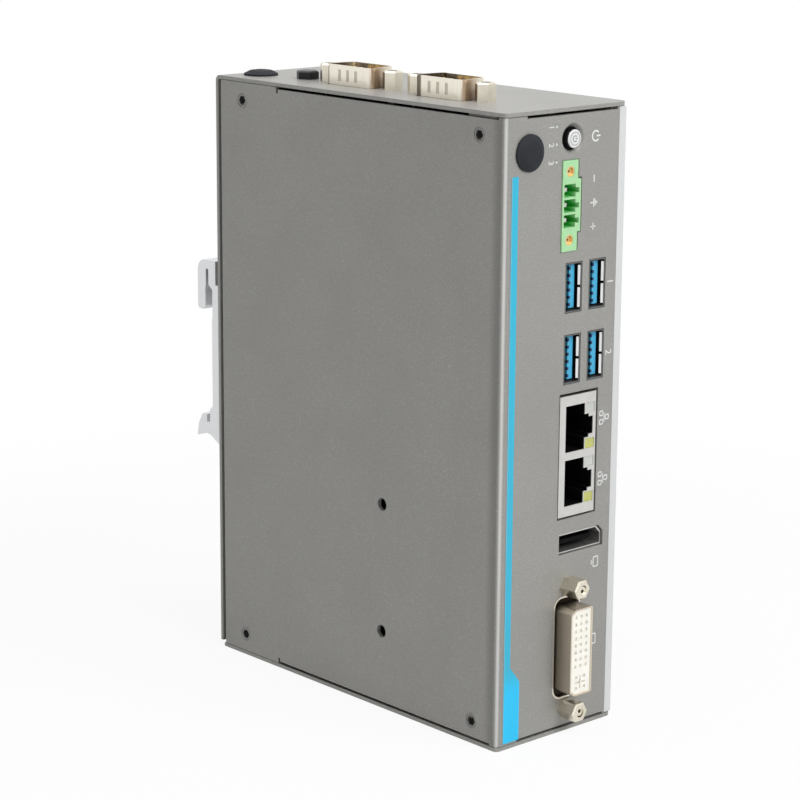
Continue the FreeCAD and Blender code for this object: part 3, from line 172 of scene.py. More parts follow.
def foldMasks(finish, fold):
    x, y, z = finish.axes()
    fromSide, fromFront = x - sideFace, y - frontFace
    bend = fold["bend"]
    side = finish.within(fromSide, bend * fold["soft"], bend)
    front = finish.within(fromFront, bend * fold["soft"], bend)
    behind = finish.within(fromFront, *(bend * share for share in fold["behind"]))
    further = finish.within(fromFront, *(bend * share for share in fold["further"]))
    inward = finish.within(fromSide, *fold["edge"])
    return (1 - side) * (1 - front), behind * (1 - further) * (1 - inward)


def makePowderCoat(name, settings=powderCoat, fold=None):
    # metal flakes in a fine textured coat, with a slow drift in tone and gloss
    finish = Finish(name)
    flake = finish.within(finish.noise(settings["grain"], settings["detail"],
                                       rough=settings["flakeNoise"]), *settings["flakes"])
    drift = finish.noise(settings["driftSize"])
    tone = finish.mixed(flake * settings["flakeShare"], settings["tone"], settings["fleck"])
    tone = finish.mixed(finish.within(drift, *settings["drift"]) * settings["driftShare"], tone,
                        darker(settings["tone"]))
    # painted highlight along the fold's bend, and painted shade in a band on the side behind it
    if fold:
        bend, behind = foldMasks(finish, fold)
        tone = finish.mixed(bend * fold["brightShare"], tone, fold["bright"])
        tone = finish.mixed(behind * fold["paintedShadeShare"], tone, fold["paintedShade"])
    grain = finish.noise(settings["grain"] * settings["coarse"], settings["detail"])
    rough = settings["rough"] + flake * settings["flakeRough"] + drift * settings["driftRough"]
    return finish.done(Base_Color=tone, Metallic=settings["metal"], Roughness=rough,
                       Coat_Weight=settings["gloss"], Coat_Roughness=settings["glossRough"],
                       Normal=finish.bump(grain, settings["relief"], settings["press"]))


extrusion = {"tone": rgb(214, 215, 215), "line": rgb(196, 198, 200), "grain": 0.12 * mm,
             "stretch": (1, 1, 0.01), "lineShare": 0.3, "lineRough": 0.12, "hazeSize": 9 * mm,
             "hazeRough": 0.08, "metal": 0.85, "rough": 0.42, "relief": 0.01 * mm, "press": 0.4}


def makeExtrusion(name, **changes):
    # die lines run up the extrusion, over a satin ground
    settings = {**extrusion, **changes}
    finish = Finish(name)
    lines = finish.noise(settings["grain"], stretch=settings["stretch"])
    haze = finish.noise(settings["hazeSize"])
    tone = finish.mixed(lines * settings["lineShare"], settings["tone"], settings["line"])
    rough = settings["rough"] + lines * settings["lineRough"] + haze * settings["hazeRough"]
    return finish.done(Base_Color=tone, Metallic=settings["metal"], Roughness=rough,
                       Normal=finish.bump(lines, settings["relief"], settings["press"]))


plate = {"grain": 0.5 * mm, "stretch": (1, 1, 0.15), "relief": 0.003 * mm, "press": 0.3,
         "markRough": 0.1, "cloudSize": 3 * mm, "cloudEdges": (0.35, 0.7), "cloudShare": 0.2,
         "tint": rgb(150, 142, 128), "metal": 1.0}


def drawingMarks(finish):
    # faint lines left by rolling or drawing, and the bump that they make
    marks = finish.noise(plate["grain"], stretch=plate["stretch"])
    return marks, finish.bump(marks, plate["relief"], plate["press"])


def makePlate(name, tone, rough, tint=plate["tint"], metal=plate["metal"]):
    # plated metal: slightly cloudy colour and gloss, with faint drawing marks
    finish = Finish(name)
    cloud = finish.within(finish.noise(plate["cloudSize"]), *plate["cloudEdges"])
    marks, relief = drawingMarks(finish)
    return finish.done(Base_Color=finish.mixed(cloud * plate["cloudShare"], tone, tint),
                       Metallic=metal, Roughness=rough + marks * plate["markRough"],
                       Normal=relief)


deepShell = {"tone": rgb(216, 204, 186), "paintedShade": rgb(58, 50, 42), "rough": 0.24,
             "fade": 7 * mm, "deepRough": 0.3, "front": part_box("dvi_shell")[0][1]}


def makeDeepShell(name, settings):
    # plated shell that turns dull towards its back, where painted shade darkens it,
    # behind the front panel
    finish = Finish(name)
    y = finish.axes()[1]
    deepShade = finish.within(y - settings["front"], 0.0, settings["fade"])
    cloud = finish.noise(plate["cloudSize"])
    marks, relief = drawingMarks(finish)
    tone = finish.mixed(cloud * plate["cloudShare"], settings["tone"], darker(settings["tone"]))
    rough = settings["rough"] + marks * plate["markRough"] + deepShade * settings["deepRough"]
    return finish.done(Base_Color=finish.mixed(deepShade, tone, settings["paintedShade"]), Metallic=1.0,
                       Roughness=rough, Normal=relief)


# Drawn serial shells. far and near are where their two ends of painted shade start, from the
# middle, wall is the inner face seen through the mouth, and mouth is how far down painted shade
# darkens that face.

drawnShell = {"tone": rgb(240, 234, 220), "shade": rgb(206, 196, 176), "shadeShare": 0.25,
              "copperAndShade": rgb(150, 112, 80), "nearShadeShare": 0.7, "near": 7.9 * mm,
              "paintedShade": rgb(70, 54, 40), "paintedShadeShare": 0.85, "far": 7.2 * mm, "fade": 0.7 * mm,
              "wall": 4.0 * mm, "mouth": (1.2 * mm, 4.5 * mm), "mouthShadeShare": 0.6, "rough": 0.2}


def makeDrawnShell(name, node, **changes):
    # light-toned drawn shell, with painted shade where it turns at its two ends, warm brown
    # at the near end, and inside near the pin field
    settings = {**drawnShell, **changes}
    finish = Finish(name)
    low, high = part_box(node)
    middle = middleOf(node)[1]
    x, y, z = finish.axes()
    fade = settings["fade"]
    farEnd = finish.within(y - middle, settings["far"], settings["far"] + fade)
    nearEnd = finish.within(middle - y, settings["near"], settings["near"] + fade)
    inside = finish.within(x - (low[0] + settings["wall"]), 0.0, fade)
    below = finish.within(high[2] - z, *settings["mouth"])
    marks, relief = drawingMarks(finish)
    tone = finish.mixed(marks * settings["shadeShare"], settings["tone"], settings["shade"])
    tone = finish.mixed(nearEnd * settings["nearShadeShare"], tone, settings["copperAndShade"])
    tone = finish.mixed(farEnd * settings["paintedShadeShare"], tone, settings["paintedShade"])
    tone = finish.mixed(inside * below * settings["mouthShadeShare"], tone, settings["paintedShade"])
    return finish.done(Base_Color=tone, Metallic=1.0, Normal=relief,
                       Roughness=settings["rough"] + marks * plate["markRough"])


capPlastic = {"tone": rgb(226, 226, 226), "shade": rgb(206, 206, 208), "shadeShare": 0.4,
              "skirt": rgb(20, 20, 22), "face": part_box("power_button_cap")[0][1],
              "lip": (0.28 * mm, 0.33 * mm), "grain": 0.2 * mm, "slowSize": 1.5 * mm,
              "rough": 0.3, "grainRough": 0.1, "relief": 0.005 * mm, "press": 0.4}


def makeCapPlastic(name, settings):
    # white face and dark skirt, which part at the lip behind the face
    finish = Finish(name)
    y = finish.axes()[1]
    skirt = finish.within(y - settings["face"], *settings["lip"])
    fine = finish.noise(settings["grain"])
    slow = finish.noise(settings["slowSize"])
    face = finish.mixed(slow * settings["shadeShare"], settings["tone"], settings["shade"])
    return finish.done(Base_Color=finish.mixed(skirt, face, settings["skirt"]),
                       Roughness=settings["rough"] + fine * settings["grainRough"],
                       Normal=finish.bump(fine, settings["relief"], settings["press"]))


moulded = {"slowSize": 4 * mm, "slowEdges": (0.35, 0.7), "slowShare": 0.35, "slowRough": 0.05,
           "grain": 0.25 * mm, "grainRough": 0.12, "relief": 0.01 * mm, "press": 0.5,
           "shine": 0.5}


def makePlastic(name, tone, rough, shade=None, **changes):
    # moulded plastic: spark-eroded grain and a slow change of shade
    settings = {**moulded, **changes}
    finish = Finish(name)
    slow = finish.noise(settings["slowSize"])
    fine = finish.noise(settings["grain"])
    share = finish.within(slow, *settings["slowEdges"]) * settings["slowShare"]
    rough = rough + fine * settings["grainRough"] + slow * settings["slowRough"]
    return finish.done(Base_Color=finish.mixed(share, tone, shade or darker(tone)),
                       Roughness=rough, Specular_IOR_Level=settings["shine"],
                       Normal=finish.bump(fine, settings["relief"], settings["press"]))


tinted = {"skin": 0.1 * mm, "grain": 0.2 * mm, "slowSize": 3 * mm, "paleShare": 0.15,
          "rough": 0.3, "grainRough": 0.1, "slowRough": 0.06, "gloss": 0.2,
          "relief": 0.008 * mm, "press": 0.5}


def makeTinted(name, node, paleLit, deepShade, fade):
    # clear-tinted plastic: pale with a painted highlight on its lit front edges, and deeper
    # in colour with painted shade inside its hollows
    finish = Finish(name)
    y = finish.axes()[1]
    behind = finish.within(y - (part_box(node)[0][1] + tinted["skin"]), 0.0, fade)
    fine = finish.noise(tinted["grain"])
    slow = finish.noise(tinted["slowSize"])
    tone = finish.mixed(behind, paleLit, deepShade)
    tone = finish.mixed(fine * tinted["paleShare"], tone, paleLit)
    rough = tinted["rough"] + fine * tinted["grainRough"] + slow * tinted["slowRough"]
    return finish.done(Base_Color=tone, Roughness=rough, Coat_Weight=tinted["gloss"],
                       Normal=finish.bump(fine, tinted["relief"], tinted["press"]))


stripeFilm = {"tone": rgb(40, 176, 208), "rim": rgb(128, 186, 204), "rimWidth": 0.35 * mm,
              "foot": rgb(4, 194, 246), "footLevel": (14 * mm, 22 * mm),
              "dot": rgb(60, 215, 255), "dotSize": 0.4 * mm, "dotShare": 0.1, "rough": 0.32,
              "dotRough": 0.1, "relief": 0.003 * mm, "press": 0.3}


def makeStripe(name, settings):
    # printed film, paler along its outer edge and stronger in colour at its wide foot
    finish = Finish(name)
    x, y, z = finish.axes()
    inward = finish.within(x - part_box("accent_stripe")[0][0], 0.0, settings["rimWidth"])
    dots = finish.noise(settings["dotSize"])
    upper = finish.within(z, *settings["footLevel"])
    tone = finish.mixed(upper, settings["foot"], settings["tone"])
    tone = finish.mixed(inward, settings["rim"], tone)
    tone = finish.mixed(dots * settings["dotShare"], tone, settings["dot"])
    return finish.done(Base_Color=tone, Roughness=settings["rough"] + dots * settings["dotRough"],
                       Normal=finish.bump(dots, settings["relief"], settings["press"]))


clear = {"cloudSize": 1.2 * mm, "cloudShare": 0.3, "white": rgb(255, 255, 255), "rough": 0.14,
         "cloudRough": 0.1, "through": 0.35, "bend": 1.49}


def makeClear(name, tone):
    # light pipe plastic, a little milky
    finish = Finish(name)
    cloud = finish.noise(clear["cloudSize"])
    return finish.done(Base_Color=finish.mixed(cloud * clear["cloudShare"], tone, clear["white"]),
                       Roughness=clear["rough"] + cloud * clear["cloudRough"],
                       Transmission_Weight=clear["through"], IOR=clear["bend"])


board = {"lineScale": 380.0, "wander": 2.0, "lineEdges": (0.62, 0.7), "patchSize": 7 * mm,
         "patchEdges": (0.46, 0.56), "rough": 0.32, "lineRough": 0.1, "relief": 0.03 * mm,
         "press": 0.6}


def makeBoard(name, tone, copperAndShade):
    # solder mask over tracks: fine upright bands, broken up by noise
    finish = Finish(name)
    track = finish.node("TexWave", {"wave_type": "BANDS", "bands_direction": "Z"},
                        {"Vector": finish.place(), "Scale": board["lineScale"],
                         "Distortion": board["wander"]})
    patch = finish.within(finish.noise(board["patchSize"]), *board["patchEdges"])
    lines = finish.within(track, *board["lineEdges"]) * patch
    return finish.done(Base_Color=finish.mixed(lines, tone, copperAndShade),
                       Roughness=board["rough"] + lines * board["lineRough"],
                       Normal=finish.bump(lines, board["relief"], board["press"]))


ink = {"tone": rgb(226, 227, 226), "shade": rgb(204, 205, 204), "grain": 0.15 * mm,
       "shadeShare": 0.3, "rough": 0.4, "grainRough": 0.2}


def makeInk(name, settings):
    # screen-printed ink, slightly uneven
    finish = Finish(name)
    grain = finish.noise(settings["grain"])
    return finish.done(
        Base_Color=finish.mixed(grain * settings["shadeShare"], settings["tone"],
                                settings["shade"]),
        Roughness=settings["rough"] + grain * settings["grainRough"])


# Finishes of the record's slots, and further down those of single nodes and added pieces.

finishes = {
    "painted_case": makePowderCoat("caseCoat"),
    "painted_stud": makePowderCoat("studCoat"),
    "bare_aluminium": makeExtrusion("heatSinkMetal"),
    "clip_aluminium": makeExtrusion("clipMetal", tone=rgb(226, 227, 228), grain=0.18 * mm,
                                    rough=0.44),
    "black_screw": makePlate("blackOxide", rgb(38, 38, 40), 0.34, rgb(20, 20, 22), metal=0.6),
    "plated_screw": makePlate("zincPlate", rgb(200, 200, 202), 0.26, rgb(170, 172, 176)),
    "blue_film": makeStripe("stripeFilm", stripeFilm),
    "black_rubber": makePlastic("plugRubber", rgb(34, 37, 42), 0.62, rgb(22, 24, 28),
                                grain=0.3 * mm, relief=0.03 * mm, shine=0.25),
    "white_button": makeCapPlastic("buttonCap", capPlastic),
    "white_plastic": makePlastic("whitePlastic", rgb(248, 246, 238), 0.36, rgb(240, 236, 224)),
    "black_plastic": makePlastic("blackPlastic", rgb(8, 8, 9), 0.5, shine=0.08),
    # pale front edges are a painted highlight, the deeper colour inside is painted shade
    "blue_plastic": makeTinted("bluePlastic", "usb_insulator_1", rgb(66, 172, 214),
                               rgb(14, 50, 110), 2.5 * mm),
    "green_plastic": makeTinted("greenPlastic", "terminal_header", rgb(164, 214, 160),
                                rgb(72, 214, 92), 2.2 * mm),
    "clear_plastic": makeClear("lightPipe", rgb(225, 232, 232)),
    "clear_light": makeClear("clearLight", rgb(235, 238, 232)),
    "yellow_light": makeClear("yellowLight", rgb(225, 228, 90)),
    "tinned_contact": makePlate("tinnedContact", rgb(214, 212, 208), 0.24),
    "gold_contact": makePlate("goldContact", rgb(226, 184, 100), 0.22, rgb(190, 140, 70)),
    "brass_insert": makePlate("brassInsert", rgb(234, 204, 148), 0.3, rgb(204, 166, 110)),
    "plated_shield": makePlate("platedShield", rgb(208, 207, 204), 0.36, rgb(186, 184, 180)),
    "nickel_shell": makeDeepShell("nickelShell", deepShell),
    "nickel_screw": makePlate("nickelScrew", rgb(226, 220, 204), 0.26, rgb(186, 174, 150)),
    "circuit_board": makeBoard("solderMask", rgb(16, 78, 42), rgb(34, 112, 62)),
    "module_green": makeBoard("moduleMask", rgb(20, 92, 56), rgb(40, 126, 78)),
    "chip_black": makePlastic("chipMould", rgb(34, 34, 36), 0.5),
    "grey_pad": makePlastic("padSilicone", rgb(150, 156, 162), 0.7),
    "grey_ferrite": makePlastic("ferrite", rgb(84, 84, 88), 0.6),
    "capacitor_can": makePlate("canMetal", rgb(206, 206, 208), 0.3),
    "cell_steel": makePlate("cellSteel", rgb(210, 208, 204), 0.24),

    "foldedCase": makePowderCoat("foldedCoat", fold=coverFold),
    "coverScrew": makePlate("darkScrew", rgb(124, 123, 120), 0.36, rgb(100, 99, 96), metal=0.7),
    "socketSteel": makePlate("socketSteel", rgb(120, 120, 118), 0.4, rgb(90, 90, 90)),
    "serialMetal1": makeDrawnShell("serialMetal1", "serial_shell_1"),
    "serialMetal2": makeDrawnShell("serialMetal2", "serial_shell_2", far=5.9 * mm),
    "lighterRing": makePowderCoat("ringCoat", {**powderCoat, "tone": rgb(164, 163, 159)}),
    "cutEdgeAndHighlight": makePlate("cutEdgeAndHighlight", rgb(236, 232, 222), 0.4, rgb(210, 204, 190)),
    "springSteelGlint": makePlate("springSteelGlint", rgb(238, 238, 238), 0.5, rgb(214, 214, 216),
                             metal=0.4),
    "dimpleShade": makePlate("dimpleShade", rgb(196, 190, 176), 0.3, rgb(160, 152, 138)),
    "insertReflection": makePlate("insertReflection", rgb(226, 194, 142), 0.4, rgb(196, 158, 108)),
    "contactMouthShade": makePlastic("contactMouthShade", rgb(236, 230, 214), 0.5),
    "navySlotShade": makePlastic("navySlotShade", rgb(10, 30, 74), 0.45),
    "greyInkAndShade": makePlastic("greyInkAndShade", rgb(128, 130, 134), 0.5),
    "whiteInk": makeInk("markInk", ink),
}
ownLook = {"front_side_cover": "foldedCase", "cover_screws": "coverScrew",
           "usb_shell_1": "socketSteel", "usb_shell_2": "socketSteel",
           "serial_shell_1": "serialMetal1", "serial_shell_2": "serialMetal2"}
slotOf = {row["node"]: row["material_slot"] for row in record["subparts"]}
for name, piece in nodes.items():
    piece.data.materials.clear()
    piece.data.materials.append(finishes[ownLook.get(name, slotOf[name])])
print("finishes: %d" % len(finishes))


# A shape is a pair: an array of points in metres, and a list of faces as rows of corner numbers.

def joinShapes(shapes):
    # points one after another, corner numbers raised by the count of points before them
    points, faces = [], []
    base = 0
    for shape, rows in shapes:
        points.append(shape)
        faces += [[corner + base for corner in row] for row in rows]
        base += len(shape)
    return np.concatenate(points), faces


def dressMesh(name, mesh, slot, body="housing", look=None):
    # the mesh as a piece that rides on a body, in its slot's finish or in a look of its own
    mesh.materials.clear()
    mesh.materials.append(finishes[look or slot])
    piece = bpy.data.objects.new(name, mesh)
    bpy.context.collection.objects.link(piece)
    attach(piece, body)


def addPiece(name, shapes, slot, body="housing", look=None):
    points, faces = joinShapes(shapes)
    mesh = bpy.data.meshes.new(name)
    mesh.from_pydata(points.tolist(), [], faces)
    mesh.validate()
    mesh.update()
    dressMesh(name, mesh, slot, body, look)


def stripPrism(path, width, front, back):
    # A bar along a path of (x, z) points: each point is moved half the width along the normal,
    # p +- n * width / 2, and both edges are carried from the front level to the back level.
    path = np.asarray(path, dtype=float)
    along = np.gradient(path, axis=0)
    along /= np.linalg.norm(along, axis=1)[:, None]
    across = np.stack([-along[:, 1], along[:, 0]], 1) * width / 2
    points = [np.insert(edge, 1, level, axis=1)
              for level in (front, back) for edge in (path + across, path - across)]
    count, last = len(path), len(path) - 1
    a, b, c, d = (edge * count for edge in range(4))
    sides = np.array([(a, b, b + 1, a + 1), (c, c + 1, d + 1, d),
                      (a, a + 1, c + 1, c), (b, d, d + 1, b + 1)])
    steps = np.arange(last)[:, None, None]
    ends = [(a, c, d, b), (a + last, b + last, d + last, c + last)]
    return np.concatenate(points), (sides + steps).reshape(-1, 4).tolist() + ends


def boxShape(low, high):
    # eight corners of a box: low + pick * (high - low), with every pick of 0 or 1 on three axes
    low, high = np.array(low), np.array(high)
    picks = np.indices((2, 2, 2)).reshape(3, -1).T
    faces = [(0, 1, 3, 2), (4, 6, 7, 5), (0, 4, 5, 1), (2, 3, 7, 6), (0, 2, 6, 4), (1, 5, 7, 3)]
    return low + picks * (high - low), faces


def turnedShape(middle, profile, first, second, steps=40):
    # Closed profile of (radius, along) turned about first x second:
    # point = middle + radius * (cos t * first + sin t * second) + along * axis.
    first, second = np.array(first, dtype=float), np.array(second, dtype=float)
    axis = np.cross(first, second)
    turn = np.linspace(0, 2 * math.pi, steps, endpoint=False)[:, None]
    spoke = np.cos(turn) * first + np.sin(turn) * second
    radius, along = np.array(profile).T[:, :, None, None]
    points = np.array(middle) + radius * spoke + along * axis
    corner = np.arange(len(profile) * steps).reshape(-1, steps)
    beside = np.roll(corner, -1, axis=1)
    faces = np.stack([corner, beside, np.roll(beside, -1, axis=0), np.roll(corner, -1, axis=0)],
                     -1)
    return points.reshape(-1, 3), faces.reshape(-1, 4).tolist()


def washer(middle, radii, levels, facing="front"):
    # flat ring between two radii and two levels, which looks along -y, +z or -x
    (inner, outer), (back, front) = radii, levels
    first, second = {"front": ((1, 0, 0), (0, 0, 1)), "top": ((1, 0, 0), (0, 1, 0)),
                     "side": ((0, 0, 1), (0, 1, 0))}[facing]
    return turnedShape(middle, [(outer, back), (outer, front), (inner, front), (inner, back)],
                       first, second)


# Power button: a black well round the cap as painted shade in the gap, and a grey ring on its
# face as painted shade in a groove.

buttonDress = {"well": (2.42 * mm, 2.98 * mm), "wellLevels": (-1.15 * mm, -0.86 * mm),
               "ring": (1.5 * mm, 1.66 * mm), "ringLevels": (0, 0.02 * mm)}
capX, capZ = middleOf("power_button_cap")[[0, 2]]
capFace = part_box("power_button_cap")[0][1]
addPiece("buttonGapShade", [washer((capX, frontFace, capZ), buttonDress["well"],
                               buttonDress["wellLevels"])], "black_plastic")
addPiece("buttonGrooveShade", [washer((capX, capFace, capZ), buttonDress["ring"],
                               buttonDress["ringLevels"])],
         "white_button", "power_button", "greyInkAndShade")


# USB mouths: bent springs on the long walls, white with a painted reflection, black wells behind
# them that are painted shade, and navy slots of painted shade on the tongues. wallShift is the
# way from a tongue's contact side to the port's wall, and half is half the height of that wall.

usbDress = {"wallShift": 2.775 * mm, "half": 5.7 * mm, "skin": 0.05 * mm,
            "springDepth": (0.1 * mm, 0.6 * mm), "lift": 0.42 * mm, "break": 0.35 * mm,
            "wellDepth": (0.02 * mm, 2.9 * mm), "wellSkin": 0.01 * mm,
            "slots": 6, "slotPitch": 1.85 * mm, "slotHeight": 0.8 * mm, "slotWidth": 0.5 * mm,
            "slotDepth": (-0.03 * mm, 0.6 * mm), "contact": 0.15 * mm}


def lipShape(front, back, span):
    # spring bent in from the wall: a wedge whose slope runs from front to back, over a span of z
    corners = [front, back, (front[0], back[1])]
    points = np.array([(x, y, z) for z in span for x, y in corners])
    faces = [(0, 3, 4, 1), (1, 4, 5, 2), (2, 5, 3, 0), (0, 1, 2), (3, 5, 4)]
    return points, faces


def usbDressing(number):
    contactLow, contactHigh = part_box("usb_contacts_%d" % number)
    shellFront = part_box("usb_shell_%d" % number)[0][1]
    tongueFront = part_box("usb_insulator_%d" % number)[0][1]
    middle = (contactLow[2] + contactHigh[2]) / 2
    half, skin, pitch = usbDress["half"], usbDress["skin"], usbDress["slotPitch"]
    start, end = (shellFront + depth for depth in usbDress["springDepth"])
    wellFront, wellBack = (shellFront + depth for depth in usbDress["wellDepth"])
    slotFront, slotBack = (tongueFront + depth for depth in usbDress["slotDepth"])
    springs, wells, slots = [], [], []
    for contactSide in (contactLow[0] + usbDress["contact"], contactHigh[0]):
        wall = contactSide + usbDress["wallShift"]
        for side in (-1, 1):
            span = sorted((middle + side * usbDress["break"],
                           middle + side * (half - usbDress["break"])))
            springs.append(lipShape((wall - skin, start), (wall - skin - usbDress["lift"], end),
                                    span))
        wells.append(boxShape((wall - skin, wellFront, middle - half),
                              (wall - usbDress["wellSkin"], wellBack, middle + half)))
        for step in range(usbDress["slots"]):
            level = middle + (step - (usbDress["slots"] - 1) / 2) * pitch
            slots.append(boxShape(
                (contactSide - skin, slotFront, level - usbDress["slotHeight"] / 2),
                (contactSide + usbDress["slotWidth"], slotBack,
                 level + usbDress["slotHeight"] / 2)))
    # springs white with a painted reflection; wells and tongue slots are painted shade
    addPiece("usbSpringsAndGlint%d" % number, springs, "plated_shield", look="springSteelGlint")
    addPiece("usbWellShade%d" % number, wells, "black_plastic")
    addPiece("usbSlotShade%d" % number, slots, "blue_plastic", look="navySlotShade")


usbDressing(1)
usbDressing(2)


# DVI: cut edge of the window in the front panel, bare metal with a painted highlight, and mouths
# of the contacts in a shaded copy of the white plastic, painted shade. window is half its width
# and height, first is the height of the top row over the middle.

dviDress = {"window": (4.85 * mm, 13.85 * mm), "corner": 3 * mm, "edge": 0.42 * mm,
            "edgeLevels": (-0.03 * mm, 0.9 * mm), "columns": (-1, 0, 1), "rows": 8,
            "pitch": 1.9 * mm, "first": 9.4 * mm, "mouth": (0.86 * mm, 0.86 * mm),
            "mouthLevels": (0.35 * mm, 0.75 * mm), "cross": -8.3 * mm, "crossStep": 1.45 * mm,
            "crossArms": (3.5 * mm, 0.46 * mm)}


def roundedPath(middle, half, corner, steps=12):
    # Closed path of (x, z): four quarter circles joined by straight runs, each of them
    # middle + (half - corner) * side + corner * (cos t, sin t).
    path = []
    for number, sides in enumerate(((1, 1), (-1, 1), (-1, -1), (1, -1))):
        turn = np.linspace(number, number + 1, steps) * math.pi / 2
        centre = np.array(middle) + (np.array(half) - corner) * sides
        path.append(centre + corner * np.stack([np.cos(turn), np.sin(turn)], 1))
    path = np.concatenate(path)
    return np.concatenate([path, path[:1]])


dviX, dviZ = middleOf("dvi_jackscrews")[[0, 2]]
inset = dviDress["edge"] / 2
edgeFront, edgeBack = (frontFace + level for level in dviDress["edgeLevels"])
addPiece("dviCutEdgeAndHighlight",
         [stripPrism(roundedPath((dviX, dviZ), np.array(dviDress["window"]) - inset,
                                 dviDress["corner"] - inset),
                     dviDress["edge"], edgeFront, edgeBack)], "painted_case", look="cutEdgeAndHighlight")


def mouthShape(x, z, size):
    # box as wide and high as size, with its middle at x and z from the port's middle
    front, back = (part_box("dvi_insulator")[0][1] + level for level in dviDress["mouthLevels"])
    width, height = size
    return boxShape((dviX + x - width / 2, front, dviZ + z - height / 2),
                    (dviX + x + width / 2, back, dviZ + z + height / 2))


pitch, cross, crossStep = dviDress["pitch"], dviDress["cross"], dviDress["crossStep"]
mouths = [mouthShape(column * pitch, dviDress["first"] - row * pitch, dviDress["mouth"])
          for column in dviDress["columns"] for row in range(dviDress["rows"])]
mouths += [mouthShape(side * crossStep, cross + level * crossStep, dviDress["mouth"])
           for side in (-1, 1) for level in (-1, 1)]
mouths += [mouthShape(0, cross, dviDress["crossArms"]),
           mouthShape(0, cross, dviDress["crossArms"][::-1])]
addPiece("dviContactMouthShade", mouths, "white_plastic", look="contactMouthShade")


# DVI jackscrews: threaded mouths that narrow their bores.

threadDress = {"radii": (0.5 * mm, 1.3 * mm), "levels": (-1.2 * mm, -0.3 * mm)}


def endRings(node, settings):
    # one ring in each of a node's two round ends, which stand one above the other
    low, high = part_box(node)
    half = (high[0] - low[0]) / 2
    return [washer((low[0] + half, low[1], level), settings["radii"], settings["levels"])
            for level in (low[2] + half, high[2] - half)]


addPiece("dviThreadMouths", endRings("dvi_jackscrews", threadDress), "nickel_screw")


# Serial shells: painted shade on the floors of the dimples on the wide side.
# half is half the shell's width.

dimpleDress = {"size": (1.06 * mm, 2.96 * mm), "levels": (0.12 * mm, 0.18 * mm),
               "steps": (-1, 0, 1), "pitch": 3.2 * mm, "half": 4.65 * mm}


def dimpleFloors(node):
    middle = middleOf(node)
    level = (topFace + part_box(node)[1][2]) / 2
    outer, inner = (middle[0] - dimpleDress["half"] + depth for depth in dimpleDress["levels"])
    width, height = dimpleDress["size"]
    places = [middle[1] + step * dimpleDress["pitch"] for step in dimpleDress["steps"]]
    return [boxShape((outer, place - width / 2, level - height / 2),
                     (inner, place + width / 2, level + height / 2)) for place in places]


for number in (1, 2):
    addPiece("serialDimpleShade%d" % number, dimpleFloors("serial_shell_%d" % number),
             "nickel_shell", look="dimpleShade")


# Power terminal: gold floors in its two screw inserts, a painted reflection.

insertReflectionDress = {"radii": (0.3 * mm, 1.02 * mm), "levels": (-1.3 * mm, -0.55 * mm)}
addPiece("insertReflections", endRings("terminal_inserts", insertReflectionDress), "brass_insert",
         look="insertReflection")


# Rings: a lighter ring round the clinch stud's head, and one round each corner screw, a painted
# highlight on its rim, with painted shade in each screw's socket. reach is half the width of a
# screw's head.

ringDress = {"stud": (2.5 * mm, 2.75 * mm), "screw": (1.98 * mm, 2.14 * mm),
             "levels": (0, 0.02 * mm), "reach": 1.9 * mm, "socket": (0.1 * mm, 0.92 * mm),
             "socketLevels": (-0.4 * mm, -0.06 * mm)}


def screwWashers(face, radii, levels):
    # one washer on each of the four corner screws, at the given level of x
    low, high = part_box("cover_screws")
    reach = ringDress["reach"]
    return [washer((face, across, level), radii, levels, "side")
            for across in (low[1] + reach, high[1] - reach)
            for level in (low[2] + reach, high[2] - reach)]


studX, studY = middleOf("clinch_stud")[:2]
addPiece("studRing", [washer((studX, studY, topFace), ringDress["stud"], ringDress["levels"],
                             "top")], "painted_case", look="lighterRing")
addPiece("screwRimHighlights", screwWashers(sideFace, ringDress["screw"], ringDress["levels"]),
         "painted_case", look="lighterRing")
addPiece("screwSocketShade", screwWashers(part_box("cover_screws")[0][0], ringDress["socket"],
                                      ringDress["socketLevels"]),
         "grey_screw", look="black_plastic")
print("dressing: button, USB, DVI, terminal and rings")


# Printed marks. A symbol is lines through points of (x, z), in sizes of the mark. All marks are
# turned to read downwards, so x points to the top of each of them.

def squareLines(x, z, half):
    left, right, near, far = x - half, x + half, z - half, z + half
    return [[(left, near), (left, far)], [(left, near), (right, near)],
            [(right, far), (left, far)], [(right, far), (right, near)]]


def arcLine(start, end, steps=28):
    # points on a circle: (cos t, sin t) for t from start to end, in degrees
    turn = np.radians(np.linspace(start, end, steps))
    return np.stack([np.cos(turn), np.sin(turn)], 1)


symbols = {
    "power": [arcLine(42, 318), [(0.2, 0), (1.3, 0)]],
    "minus": [[(0, -1), (0, 1)]],
    "plus": [[(0, -1), (0, 1)], [(-1, 0), (1, 0)]],
    "earth": [[(-1.2, 0), (0.1, 0)], [(0.1, -1.1), (0.1, 1.1)], [(0.6, -0.7), (0.6, 0.7)],
              [(1.1, -0.3), (1.1, 0.3)]],
    "network": (squareLines(1.1, 0, 0.6)
                + squareLines(-1.1, -1.2, 0.6) + [[(-0.5, -1.2), (0, -1.2)]]
                + squareLines(-1.1, 1.2, 0.6) + [[(-0.5, 1.2), (0, 1.2)]]
                + [[(0, -1.35), (0, 1.35)], [(0, 0), (0.5, 0)]]),
    "screen": [[(0.8, -1), (0.8, 1)], [(-0.5, -1), (-0.5, 1)], [(-0.5, -1), (0.8, -1)],
               [(-0.5, 1), (0.8, 1)], [(-1, 0), (-0.5, 0)], [(-1, -0.5), (-1, 0.5)]],
}
